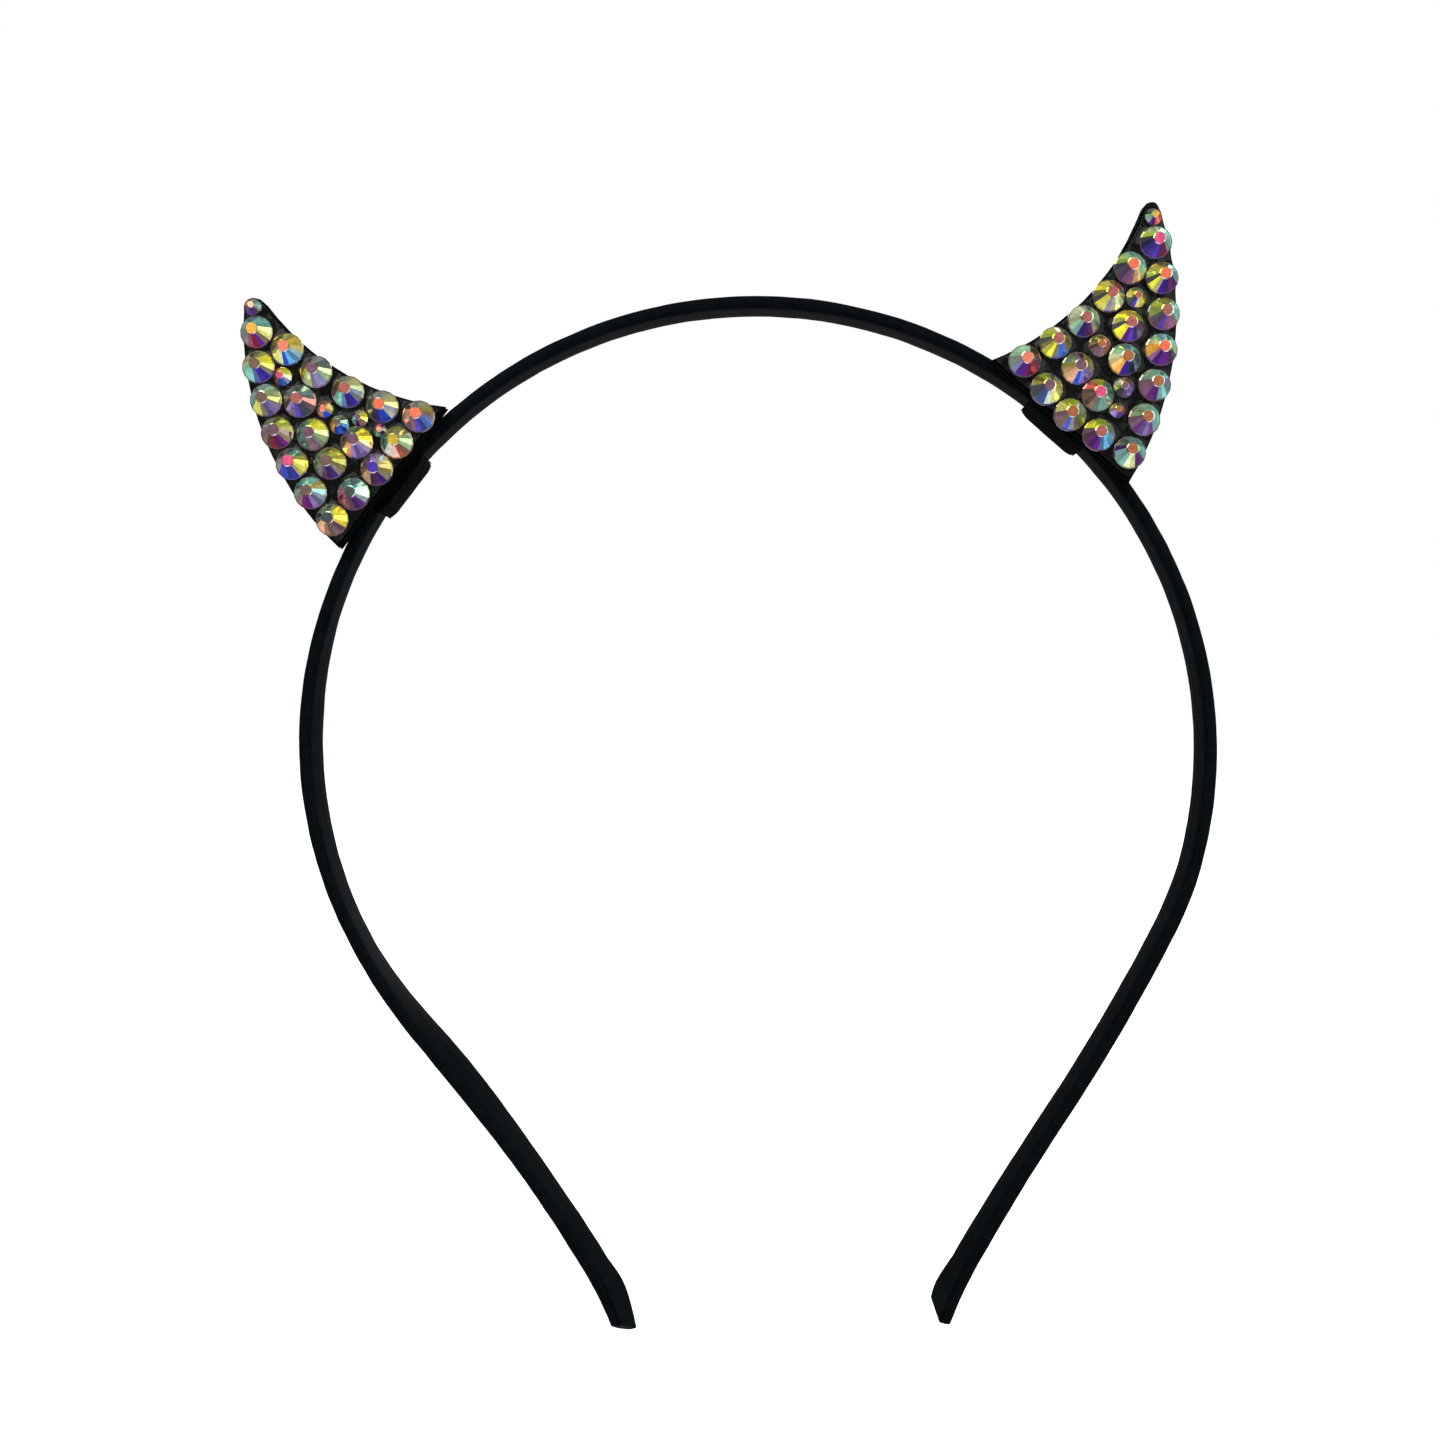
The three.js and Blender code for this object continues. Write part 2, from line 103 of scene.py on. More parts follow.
class Tone(Enum):
    """The colours that the coated facets of a crystal throw back."""

    AMBER = "ffb347"
    AQUA = "8fe0cc"
    BROWN = "7a6253"
    COBALT = "1850d0"
    CORAL = "ff7a58"
    CREAM = "e6efb4"
    CRIMSON = "9c1440"
    DENIM = "3f66b4"
    FOG = "8d9a8e"
    GOLD = "d8b93c"
    INDIGO = "300d9c"
    LEMON = "f2ea3a"
    LILAC = "9480c4"
    LIME = "b4c83e"
    MAUVE = "7c5a6c"
    MINT = "a5d4a4"
    NAVY = "24305c"
    OLIVE = "9a9244"
    PEACH = "f4b48c"
    PINK = "ea5a86"
    PLUM = "5c1f6a"
    PURPLE = "5a1084"
    ROSE = "b4685e"
    RUST = "b06a3e"
    SAGE = "8aa070"
    SALMON = "ff8f70"
    SKY = "6fc0ee"
    SLATE = "4a4e56"
    SMOKE = "4d554c"
    STRAW = "bdb66a"
    TEAL = "6f9f92"
    VIOLET = "523cb0"
    WHITE = "f6f4ee"

    @property
    def vector(self) -> Vector:
        """The tone as a linear colour."""
        return Vector(linear(self.value)[:3])

    @property
    def flashes(self) -> bool:
        """Whether the tone is one of the narrow blue and violet flashes."""
        return self in (Tone.COBALT, Tone.CRIMSON, Tone.INDIGO, Tone.PURPLE, Tone.VIOLET)


# ---------------------------------------------------------------- shader node groups


class Nodes:
    """Adds and links nodes in one node tree."""

    def __init__(self, tree: bpy.types.NodeTree) -> None:
        """Keeps the tree that the nodes go in."""
        self.tree = tree

    def add(self, kind: str, inputs: dict | None = None, **settings: object) -> bpy.types.Node:
        """Adds a node.

        Args:
            kind: the node's type name, without ShaderNode.
            inputs: by socket name or index, a value or another node's output.
            settings: the node's own properties.

        Returns:
            The node.
        """
        node = self.tree.nodes.new("ShaderNode" + kind)
        for key, value in settings.items():
            setattr(node, key, value)
        for key, value in (inputs or {}).items():
            if isinstance(value, bpy.types.NodeSocket):
                self.tree.links.new(value, node.inputs[key])
            else:
                node.inputs[key].default_value = value
        return node

    def maths(self, operation: str, *values: object) -> bpy.types.NodeSocket:
        """The result of a Math node on up to three values or outputs."""
        node = self.add("Math", dict(enumerate(values)), operation=operation)
        return node.outputs["Value"]

    def ramp(self, value: object, low: float, high: float, to_low: float = 0.0,
             to_high: float = 1.0) -> bpy.types.NodeSocket:
        """Stretches a value smoothly from one range to another.

        Args:
            value: the number or output to stretch.
            low: start of its range.
            high: end of its range.
            to_low: result at the start.
            to_high: result at the end.

        Returns:
            The stretched output.
        """
        inputs = {"Value": value, "From Min": low, "From Max": high,
                  "To Min": to_low, "To Max": to_high}
        node = self.add("MapRange", inputs, interpolation_type="SMOOTHSTEP")
        return node.outputs["Result"]

    def mix(self, share: object, a: object, b: object, blend: str = "MIX") -> bpy.types.NodeSocket:
        """Mixes two colours.

        Args:
            share: how much of the second, as a number or output.
            a: first colour or output.
            b: second colour or output.
            blend: the Mix node's blend type.

        Returns:
            The mixed colour's output.
        """
        node = self.add("Mix", data_type="RGBA", blend_type=blend)
        for index, value in ((0, share), (6, a), (7, b)):
            if isinstance(value, bpy.types.NodeSocket):
                self.tree.links.new(value, node.inputs[index])
            else:
                node.inputs[index].default_value = value
        return node.outputs[2]

    def noise(self, where: object, scale: object, detail: float = 3.0,
              roughness: float = 0.5) -> bpy.types.NodeSocket:
        """The value of a Noise Texture at a place."""
        inputs = {"Vector": where, "Scale": scale, "Detail": detail, "Roughness": roughness}
        return self.add("TexNoise", inputs).outputs[0]

    def place(self) -> bpy.types.NodeSocket:
        """The place on the object, in metres."""
        return self.add("TexCoord").outputs["Object"]

    def stretch(self, where: object,
                factors: tuple[float, float, float]) -> bpy.types.NodeSocket:
        """A place multiplied by a factor along each axis."""
        return self.add("VectorMath", {0: where, 1: factors}, operation="MULTIPLY").outputs[0]

    def bump(self, height: object, distance: float, strength: float) -> bpy.types.NodeSocket:
        """Turns a height to a normal.

        Args:
            height: the height's output, from 0 to 1.
            distance: what a height of 1 stands for, in metres.
            strength: share of the bump that is used.

        Returns:
            The normal.
        """
        inputs = {"Height": height, "Distance": distance, "Strength": strength}
        return self.add("Bump", inputs).outputs[0]

    def feed(self, node: bpy.types.Node, **outputs: object) -> None:
        """Links outputs to a node's sockets, with _ for the spaces in their names."""
        for name, output in outputs.items():
            self.tree.links.new(output, node.inputs[name.replace("_", " ")])


@dataclass(frozen=True)
class EffectGroup:
    """A shared surface effect: a node group with named inputs and outputs."""

    name: str
    inputs: tuple[tuple[str, str, float | None], ...]
    outputs: tuple[tuple[str, str], ...]

    def tree(self) -> bpy.types.NodeTree:
        """Starts the group's tree and its sockets.

        Returns:
            The node tree, with its input and output nodes in place.
        """
        tree = bpy.data.node_groups.new(self.name, "ShaderNodeTree")
        for name, kind, value in self.inputs:
            socket = tree.interface.new_socket(name, in_out="INPUT", socket_type=kind)
            if value is not None:
                socket.default_value = value
        for name, kind in self.outputs:
            tree.interface.new_socket(name, in_out="OUTPUT", socket_type=kind)
        tree.nodes.new("NodeGroupInput").name = "in"
        tree.nodes.new("NodeGroupOutput").name = "out"
        return tree


VECTOR, FLOAT = "NodeSocketVector", "NodeSocketFloat"


@lru_cache
def fibre_group() -> bpy.types.NodeTree:
    """Matted short fibres that cross each other: a mask of lighter fibres and their height.

    Returns:
        The node group.
    """
    along, across = (1.0, 1.0, 3.2), (3.4, 1.0, 0.9)
    detail, roughness = 4.0, 0.7
    clump_size, clump_low, clump_high = 0.22, 0.7, 0.8
    strand_low, strand_high = 0.52, 0.74
    inputs = (("Place", VECTOR, None), ("Size", FLOAT, 2200.0), ("Matting", FLOAT, 0.5))
    tree = EffectGroup("matted_fibres", inputs, (("Fibre", FLOAT), ("Height", FLOAT))).tree()
    n = Nodes(tree)
    put = tree.nodes["in"].outputs
    first, second = (n.noise(n.stretch(put["Place"], way), put["Size"], detail, roughness)
                     for way in (along, across))
    clumps = n.noise(put["Place"], n.maths("MULTIPLY", put["Size"], clump_size), 2.0)
    height = n.maths("MAXIMUM", first, second)
    strand = n.ramp(height, strand_low, strand_high)
    matted = n.ramp(clumps, n.maths("MULTIPLY", put["Matting"], clump_low), clump_high)
    n.feed(tree.nodes["out"], Fibre=n.maths("MULTIPLY", strand, matted),
           Height=n.maths("ADD", height, clumps))
    return tree


@lru_cache
def lint_group() -> bpy.types.NodeTree:
    """Sparse pale lint and dust specks, as a mask.

    Returns:
        The node group.
    """
    speck_reach, patch_size = 0.16, 0.3
    patch_low, patch_high, amount_shift = 0.78, 0.8, 0.3
    inputs = (("Place", VECTOR, None), ("Size", FLOAT, 900.0), ("Amount", FLOAT, 0.3))
    tree = EffectGroup("lint", inputs, (("Speck", FLOAT),)).tree()
    n = Nodes(tree)
    put = tree.nodes["in"].outputs
    cells = n.add("TexVoronoi", {"Vector": put["Place"], "Scale": put["Size"], "Randomness": 1.0})
    near = n.ramp(cells.outputs["Distance"], 0.0, speck_reach, 1.0, 0.0)
    patches = n.noise(put["Place"], n.maths("MULTIPLY", put["Size"], patch_size), 1.0)
    shift = n.maths("MULTIPLY", put["Amount"], amount_shift)
    some = n.ramp(patches, n.maths("SUBTRACT", patch_low, shift), patch_high)
    n.feed(tree.nodes["out"], Speck=n.maths("MULTIPLY", near, some))
    return tree


@lru_cache
def cloud_group() -> bpy.types.NodeTree:
    """Soft clouding at two sizes, for glue and for the depth of glass.

    Returns:
        The node group.
    """
    finer, broad_share, fine_share = 4.0, 0.7, 0.3
    cloud_low, cloud_high = 0.8, 0.66
    inputs = (("Place", VECTOR, None), ("Size", FLOAT, 500.0), ("Contrast", FLOAT, 0.5))
    tree = EffectGroup("clouding", inputs, (("Cloud", FLOAT), ("Streak", FLOAT))).tree()
    n = Nodes(tree)
    put = tree.nodes["in"].outputs
    broad = n.noise(put["Place"], put["Size"], 3.0, 0.6)
    fine = n.noise(put["Place"], n.maths("MULTIPLY", put["Size"], finer), 2.0)
    both = n.maths("ADD", n.maths("MULTIPLY", broad, broad_share),
                   n.maths("MULTIPLY", fine, fine_share))
    low = n.maths("MULTIPLY", put["Contrast"], cloud_low)
    n.feed(tree.nodes["out"], Cloud=n.ramp(both, low, cloud_high), Streak=fine)
    return tree


def effect(n: Nodes, tree: bpy.types.NodeTree, **values: object) -> bpy.types.Node:
    """Places a shared effect in a material.

    Args:
        n: the material's nodes.
        tree: the effect's node group.
        values: its inputs by name.

    Returns:
        The group node.
    """
    node = n.tree.nodes.new("ShaderNodeGroup")
    node.node_tree = tree
    for name, value in values.items():
        if isinstance(value, bpy.types.NodeSocket):
            n.tree.links.new(value, node.inputs[name])
        else:
            node.inputs[name].default_value = value
    return node


# ---------------------------------------------------------------- finishes


@dataclass(frozen=True)
class Lint:
    """The lint on a surface: its colour, size, amount, and how strongly it shows."""

    colour: str
    size: float
    amount: float
    share: float

    def over(self, n: Nodes, place: bpy.types.NodeSocket,
             under: bpy.types.NodeSocket) -> bpy.types.NodeSocket:
        """Lays the lint over a colour.

        Args:
            n: the material's nodes.
            place: where on the surface.
            under: the surface's own colour.

        Returns:
            The colour with its lint.
        """
        group = effect(n, lint_group(), Place=place, Size=self.size, Amount=self.amount)
        share = n.maths("MULTIPLY", group.outputs["Speck"], self.share)
        return n.mix(share, under, linear(self.colour))


@dataclass(frozen=True)
class Finish:
    """A surface finish: a material around one Principled BSDF."""

    name: str

    def start(self, **uniform: object) -> tuple[bpy.types.Material, Nodes, bpy.types.Node]:
        """Starts the material.

        Args:
            uniform: values set on the shader's own sockets, with _ for spaces in their names.

        Returns:
            The material, its nodes and its shader.
        """
        material = bpy.data.materials.new(self.name)
        material.use_nodes = True
        shader = material.node_tree.nodes["Principled BSDF"]
        for key, value in uniform.items():
            shader.inputs[key.replace("_", " ")].default_value = value
        return material, Nodes(material.node_tree), shader


@dataclass(frozen=True)
class Satin(Finish):
    """Near-black satin ribbon: long floats, a soft sheen and a little lint.

    Its lengths are in millimetres, as the ribbon attribute is.
    """

    base: str = "020507"
    # A painted sheen: the lighter colour painted on the raised threads and the crests of the
    # puckers.
    painted_sheen: str = "070b0e"
    lint: Lint = Lint("6d7176", 0.55, 0.35, 0.06)
    float_length: float = 1.3
    thread: float = 0.16
    pucker_scale: tuple[float, float, float] = (0.9, 0.25, 0.25)
    pucker_share: float = 0.6
    thread_relief: float = 0.25
    relief: float = 0.06 * MM

    def material(self) -> bpy.types.Material:
        """Builds the satin, whose weave follows the band through its ribbon attribute.

        Returns:
            The material.
        """
        material, n, shader = self.start(
            Specular_IOR_Level=0.02, Sheen_Weight=0.002, Sheen_Roughness=0.4)
        ribbon = n.add("Attribute", attribute_name="ribbon").outputs["Vector"]
        weave = (1 / self.float_length, 1 / self.thread, 1 / self.thread)
        threads = n.noise(n.stretch(ribbon, weave), 1.0, 1.0)
        puckers = n.noise(n.stretch(ribbon, self.pucker_scale), 1.0, 2.0)
        # Painted sheen: raised threads and pucker crests are mixed towards the lighter colour, as
        # if they were catching the light.
        high = n.maths("ADD", threads, n.maths("MULTIPLY", puckers, self.pucker_share))
        cloth = n.mix(n.ramp(high, 0.6, 1.1), linear(self.base), linear(self.painted_sheen))
        height = n.maths("ADD", n.maths("MULTIPLY", threads, self.thread_relief), puckers)
        n.feed(shader, Base_Color=self.lint.over(n, ribbon, cloth),
               Roughness=n.ramp(threads, 0.3, 0.7, 0.5, 0.62),
               Normal=n.bump(height, self.relief, 0.5))
        return material


@dataclass(frozen=True)
class Felt(Finish):
    """Matte black felt with matted short fibres."""

    base: str = "020303"
    fibre: str = "0b0d0e"
    lint: Lint = Lint("70716e", 700.0, 0.3, 0.1)
    fibre_size: float = 2200.0
    relief: float = 0.16 * MM

    def material(self) -> bpy.types.Material:
        """Builds the felt.

        Returns:
            The material.
        """
        material, n, shader = self.start(
            Specular_IOR_Level=0.012, Sheen_Weight=0.004, Sheen_Roughness=0.6)
        place = n.place()
        fibres = effect(n, fibre_group(), Place=place, Size=self.fibre_size, Matting=0.5).outputs
        cloth = n.mix(fibres["Fibre"], linear(self.base), linear(self.fibre))
        n.feed(shader, Base_Color=self.lint.over(n, place, cloth),
               Roughness=n.ramp(fibres["Height"], 0.6, 1.3, 0.98, 0.8),
               Normal=n.bump(fibres["Height"], self.relief, 0.8))
        return material


@dataclass(frozen=True)
class CraftGlue(Finish):
    """Clear craft glue over black felt: glossy, mottled grey-green, with trapped fibres."""

    dark: str = "040504"
    milky: str = "1c231d"
    fibre: str = "8c968a"
    fibre_share: float = 0.035
    fibre_size: float = 1700.0
    cloud_size: float = 520.0
    relief: float = 0.1 * MM

    def material(self) -> bpy.types.Material:
        """Builds the glue.

        Returns:
            The material.
        """
        material, n, shader = self.start(
            Specular_IOR_Level=0.05, Coat_Weight=0.045, Coat_Roughness=0.12)
        place = n.place()
        clouds = effect(n, cloud_group(), Place=place, Size=self.cloud_size,
                        Contrast=0.62).outputs
        fibres = effect(n, fibre_group(), Place=place, Size=self.fibre_size, Matting=0.6)
        glue = n.mix(clouds["Cloud"], linear(self.dark), linear(self.milky))
        shown = n.maths("MULTIPLY", fibres.outputs["Fibre"], self.fibre_share)
        n.feed(shader, Base_Color=n.mix(shown, glue, linear(self.fibre)),
               Roughness=n.ramp(clouds["Streak"], 0.3, 0.7, 0.16, 0.42),
               Normal=n.bump(clouds["Streak"], self.relief, 0.7))
        return material


@dataclass(frozen=True)
class CoatedGlass(Finish):
    """Foil-backed cut glass with an iridescent coating, coloured facet by facet."""

    metal: float = 0.8
    # glow: a painted glow, emission in each facet's own colour that stands in for light thrown back
    # by the foil; the glass is no lamp.
    glow: float = 0.27
    lint: Lint = Lint("e8e8e0", 1300.0, 0.2, 0.35)
    cloud_size: float = 1500.0

    def material(self) -> bpy.types.Material:
        """Builds the glass, which reads each facet's colour from the mesh.

        Returns:
            The material.
        """
        material, n, shader = self.start(
            Metallic=self.metal, Specular_IOR_Level=0.5, Coat_Weight=0.3, Coat_Roughness=0.04,
            Coat_IOR=1.5, Emission_Strength=self.glow)
        place = n.place()
        facet = n.add("Attribute", attribute_name="facet").outputs["Color"]
        clouds = effect(n, cloud_group(), Place=place, Size=self.cloud_size, Contrast=0.5).outputs
        depth = n.ramp(clouds["Cloud"], 0.0, 1.0, 0.82, 1.12)
        colour = self.lint.over(n, place, n.mix(1.0, facet, depth, "MULTIPLY"))
        # The facet colour also feeds the emission: a painted glow.
        n.feed(shader, Base_Color=colour, Emission_Color=colour,
               Roughness=n.ramp(clouds["Streak"], 0.3, 0.7, 0.07, 0.16))
        return material


@dataclass(frozen=True)
class SpringSteel(Finish):
    """Rolled spring steel, brushed along its length."""

    dark: str = "8f9396"
    bright: str = "b9bdc0"
    brushing: tuple[float, float, float] = (300.0, 9000.0, 300.0)

    def material(self) -> bpy.types.Material:
        """Builds the steel.

        Returns:
            The material.
        """
        material, n, shader = self.start(Metallic=1.0)
        brushed = n.noise(n.stretch(n.place(), self.brushing), 1.0, 2.0)
        n.feed(shader, Base_Color=n.mix(brushed, linear(self.dark), linear(self.bright)),
               Roughness=n.ramp(brushed, 0.2, 0.8, 0.28, 0.45))
        return material


@dataclass(frozen=True)
class GreyCard(Finish):
    """Pulpy grey-brown stiffening card."""

    dark: str = "6b5d4a"
    light: str = "94856e"
    pulp_size: float = 1500.0
    relief: float = 0.1 * MM

    def material(self) -> bpy.types.Material:
        """Builds the card.

        Returns:
            The material.
        """
        material, n, shader = self.start(Roughness=0.92, Specular_IOR_Level=0.2)
        pulp = effect(n, fibre_group(), Place=n.place(), Size=self.pulp_size,
                      Matting=0.3).outputs
        n.feed(shader, Base_Color=n.mix(pulp["Fibre"], linear(self.dark), linear(self.light)),
               Normal=n.bump(pulp["Height"], self.relief, 0.5))
        return material


@dataclass(frozen=True)
class StudioPaper(Finish):
    """The floor's plain pale paper: white where it is looked at, and dimmer as a light."""

    dark: str = "b4b4b4"
    light: str = "bcbcbc"
    glow: str = "ffffff"
    tooth_size: float = 40.0
    seen: float = 1.0
    lit: float = 0.12

    def material(self) -> bpy.types.Material:
        """Builds the paper.

        Returns:
            The material.
        """
        material, n, shader = self.start(
            Roughness=0.95, Specular_IOR_Level=0.0, Emission_Color=linear(self.glow))
        tooth = n.noise(n.place(), self.tooth_size, 2.0)
        looked_at = n.add("LightPath").outputs["Is Camera Ray"]
        n.feed(shader, Base_Color=n.mix(tooth, linear(self.dark), linear(self.light)),
               Emission_Strength=n.ramp(looked_at, 0.0, 1.0, self.lit, self.seen))
        return material


@dataclass
class Wardrobe:
    """Every finish of the headband, made once."""

    def __post_init__(self) -> None:
        """Makes the materials."""
        self.satin = Satin("black_satin").material()
        self.felt = Felt("black_felt").material()
        self.strap = Felt("strap_felt", base="020304", fibre="080b0d",
                          fibre_size=2600.0).material()
        self.glue = CraftGlue("craft_glue").material()
        self.glass = CoatedGlass("coated_glass").material()
        self.steel = SpringSteel("spring_steel").material()
        self.card = GreyCard("grey_card").material()


# ---------------------------------------------------------------- mesh helpers


@dataclass
class Piece:
    """A piece of the headband on its way from mesh to scene."""

    name: str
    bm: bmesh.types.BMesh
    smooth_below: float = 40.0

    def into_scene(self, material: bpy.types.Material) -> bpy.types.Object:
        """Makes the object from the mesh, at the origin.

        Args:
            material: its finish.

        Returns:
            The object, still without a body.
        """
        data = bpy.data.meshes.new(self.name)
        for face in self.bm.faces:
            face.smooth = True
        self.bm.to_mesh(data)
        self.bm.free()
        data.set_sharp_from_angle(angle=math.radians(self.smooth_below))
        data.materials.append(material)
        made = bpy.data.objects.new(self.name, data)
        bpy.context.scene.collection.objects.link(made)
        log.info("%s: %d faces", self.name, len(data.polygons))
        return made


def copy_of_node(node: str, flat_within: float = 1.0) -> bmesh.types.BMesh:
    """Copies a CAD node's mesh, merged and with its flat faces whole.

    Args:
        node: the node's name.
        flat_within: faces that turn less than this, in degrees, become one.

    Returns:
        The copy.
    """
    bm = bmesh.new()
    bm.from_mesh(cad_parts[node].data)
    bmesh.ops.remove_doubles(bm, verts=bm.verts, dist=0.002 * MM)
    bmesh.ops.dissolve_limit(bm, angle_limit=math.radians(flat_within), verts=bm.verts,
                             edges=bm.edges)
    bm.normal_update()
    return bm


def dress_node(node: str, material: bpy.types.Material) -> None:
    """Gives a CAD node that is shown as it is its material."""
    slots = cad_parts[node].data.materials
    slots.clear()
    slots.append(material)
    log.info("%s: dressed", node)


def cut_into_cells(bm: bmesh.types.BMesh, cell: float) -> None:
    """Cuts a mesh by evenly spaced planes across X and Z, so that its flat faces can be shaped.

    Args:
        bm: the mesh.
        cell: distance between planes.
    """
    for axis in (Vector((1, 0, 0)), Vector((0, 0, 1))):
        reach = [v.co.dot(axis) for v in bm.verts]
        low, high = min(reach), max(reach)
        count = math.ceil((high - low) / cell)
        for i in range(1, count):
            at = axis * (low + (high - low) * i / count)
            geom = bm.verts[:] + bm.edges[:] + bm.faces[:]
            bmesh.ops.bisect_plane(bm, geom=geom, dist=TOUCH, plane_co=at, plane_no=axis)
    wide = [f for f in bm.faces if len(f.verts) > 4]
    bmesh.ops.triangulate(bm, faces=wide)


def soften(bm: bmesh.types.BMesh, lump: float, height: float, seed: float = 0.0) -> None:
    """Moves the surface in and out a little, as cloth and felt do.

    Args:
        bm: the mesh.
        lump: size of the unevenness.
        height: its most, each way.
        seed: moves the pattern.
    """
    bm.normal_update()
    shift = Vector((seed, seed * 2, seed * 3))
    for v in bm.verts:
        v.co += v.normal * noise.noise(v.co / lump + shift) * height


def round_edges(bm: bmesh.types.BMesh, sharper_than: float, radius: float, segments: int) -> None:
    """Bevels the edges that turn more than an angle.

    Args:
        bm: the mesh.
        sharper_than: angle in degrees.
        radius: bevel offset.
        segments: steps in the round.
    """
    limit = math.radians(sharper_than)
    sharp = [e for e in bm.edges if len(e.link_faces) == 2 and e.calc_face_angle() > limit]
    bmesh.ops.bevel(bm, geom=sharp, offset=radius, offset_type="OFFSET", segments=segments,
                    profile=0.5, affect="EDGES", material=-1, clamp_overlap=True)


def ribbon_outline(bm: bmesh.types.BMesh, thickness: float, width: float, corner: float,
                   corner_steps: int) -> None:
    """Draws a rectangle with round corners, without its face, and cuts its broad edges.

    Args:
        bm: an empty mesh.
        thickness: size along X.
        width: size along Y.
        corner: radius of the corners.
        corner_steps: steps in each corner.
    """
    grid = bmesh.ops.create_grid(bm, x_segments=1, y_segments=1, size=0.5)
    bmesh.ops.scale(bm, vec=(thickness, width, 1), verts=grid["verts"])
    bmesh.ops.bevel(bm, geom=bm.verts[:], offset=corner, offset_type="OFFSET",
                    segments=corner_steps, profile=0.5, affect="VERTICES", material=-1)
    bmesh.ops.delete(bm, geom=bm.faces[:], context="FACES_ONLY")
    broad = [e for e in bm.edges if e.calc_length() > width / 2]
    bmesh.ops.subdivide_edges(bm, edges=broad, cuts=9, use_grid_fill=False)


def ring_of(edges: list[bmesh.types.BMEdge]) -> list:
    """The edges of an open end, with their vertices."""
    return edges + list({v for e in edges for v in e.verts})


# ---------------------------------------------------------------- the band


@dataclass(frozen=True)
class Bend:
    """One arc of the band. A negative sweep curves back outwards."""

    radius: float
    sweep: float


@dataclass(frozen=True)
class BandPoint:
    """A place on the band's centreline, with its heading from the top and its twist."""

    point: Vector
    heading: float
    twist: float


@dataclass(frozen=True)
class Route:
    """One side of the band's centreline, from the top of the arch to the tip."""

    sign: int
    bends: tuple[Bend, ...]
    twists: tuple[tuple[float, float], ...]
    slant: float
    end_narrowing: float
    arm_reach: float
    top: float = 0.95 * MM
    half_width: float = 2.65 * MM
    end_reach: float = 5.5 * MM

    def arcs(self) -> list[tuple[Vector, float, float, float]]:
        """Lays the bends end to end.

        Returns:
            For each arc: its centre, signed radius, heading at its start, and turn.
        """
        made = []
        at, heading = Vector((0, 0, self.top)), 0.0
        for bend in self.bends:
            radius = math.copysign(bend.radius, bend.sweep)
            turn = math.radians(bend.sweep)
            towards = Vector((self.sign * math.sin(heading), 0, math.cos(heading)))
            centre = at - towards * radius
            made.append((centre, radius, heading, turn))
            heading += turn
            at = centre + Vector((self.sign * math.sin(heading), 0, math.cos(heading))) * radius
        return made

    @property
    def length(self) -> float:
        """The whole length of this side."""
        return sum(radius * turn for _, radius, _, turn in self.arcs())

    def twist_at(self, share: float) -> float:
        """The twist at a share of the length, in radians, eased from pair to pair.

        Args:
            share: from 0 at the top to 1 at the tip.

        Returns:
            The angle.
        """
        for (start, low), (end, high) in zip(self.twists, self.twists[1:]):
            if share <= end:
                t = max(0.0, (share - start) / (end - start))
                return math.radians(low + (high - low) * t * t * (3 - 2 * t))
        return math.radians(self.twists[-1][1])

    def at(self, distance: float) -> BandPoint:
        """The band at a distance from the top.

        Args:
            distance: along the centreline.

        Returns:
            The place, with its heading and twist.
        """
        left = distance
        for centre, radius, heading, turn in self.arcs():
            if left <= radius * turn + 0.001 * MM:
                here = heading + left / radius
                out = Vector((self.sign * math.sin(here), 0, math.cos(here)))
                return BandPoint(centre + out * radius, here, self.twist_at(distance / self.length))
            left -= radius * turn
        return self.at(self.length)

    def tangent(self, heading: float) -> Vector:
        """The direction from left to right at a heading."""
        return Vector((math.cos(heading), 0, -self.sign * math.sin(heading)))

    def trimmed(self, distance: float, across: float) -> tuple[float, float]:
        """Trims the band's end, which is cut aslant and drawn in on its back edge.

        Args:
            distance: along the centreline from the top.
            across: over the band's width, towards +Y.

        Returns:
            The distance and the place across, as trimmed.
        """
        share = min(1.0, max(0.0, 1 - (self.length - distance) / self.end_reach))
        back = (1 + across / self.half_width) / 2 * share * share
        return distance + back * self.slant, across - back * self.end_narrowing

    def onwards(self, distance: float) -> Vector:
        """The direction along the band, away from the top, at a distance."""
        return self.tangent(self.at(distance).heading) * self.sign

    def place(self, distance: float, across: float, outwards: float) -> Vector:
        """A place in or on the band.

        Args:
            distance: along the centreline from the top.
            across: over the band's width, towards +Y.
            outwards: away from the head.

        Returns:
            The point.
        """
        here = self.at(distance)
        tangent = self.tangent(here.heading)
        out = Vector((self.sign * math.sin(here.heading), 0, math.cos(here.heading)))
        turned = Matrix.Rotation(-here.twist, 3, tangent)
        return here.point + turned @ (out * outwards + Vector((0, across, 0)))


ROUTES = {
    "left": Route(
        sign=-1,
        bends=(Bend(67.7 * MM, 40), Bend(63.5 * MM, 85), Bend(79 * MM, 6), Bend(265 * MM, -9.3),
               Bend(60 * MM, -8.6)),
        twists=((0, 0), (0.38, 0), (0.52, 9), (0.66, 6), (0.785, 25), (0.88, 15), (1, 20)),
        slant=2.5 * MM,
        end_narrowing=2.1 * MM,
        arm_reach=22 * MM,
    ),
    "right": Route(
        sign=1,
        bends=(Bend(67.7 * MM, 40), Bend(65.3 * MM, 62), Bend(52.7 * MM, 15.2),
               Bend(292 * MM, 6.4), Bend(389 * MM, -3.5), Bend(70 * MM, -8.2)),
        twists=((0, 0), (0.38, 0), (0.55, 3), (0.85, 6), (1, 14)),
        slant=-1.4 * MM,
        end_narrowing=0.6 * MM,
        arm_reach=16.5 * MM,
    ),
}


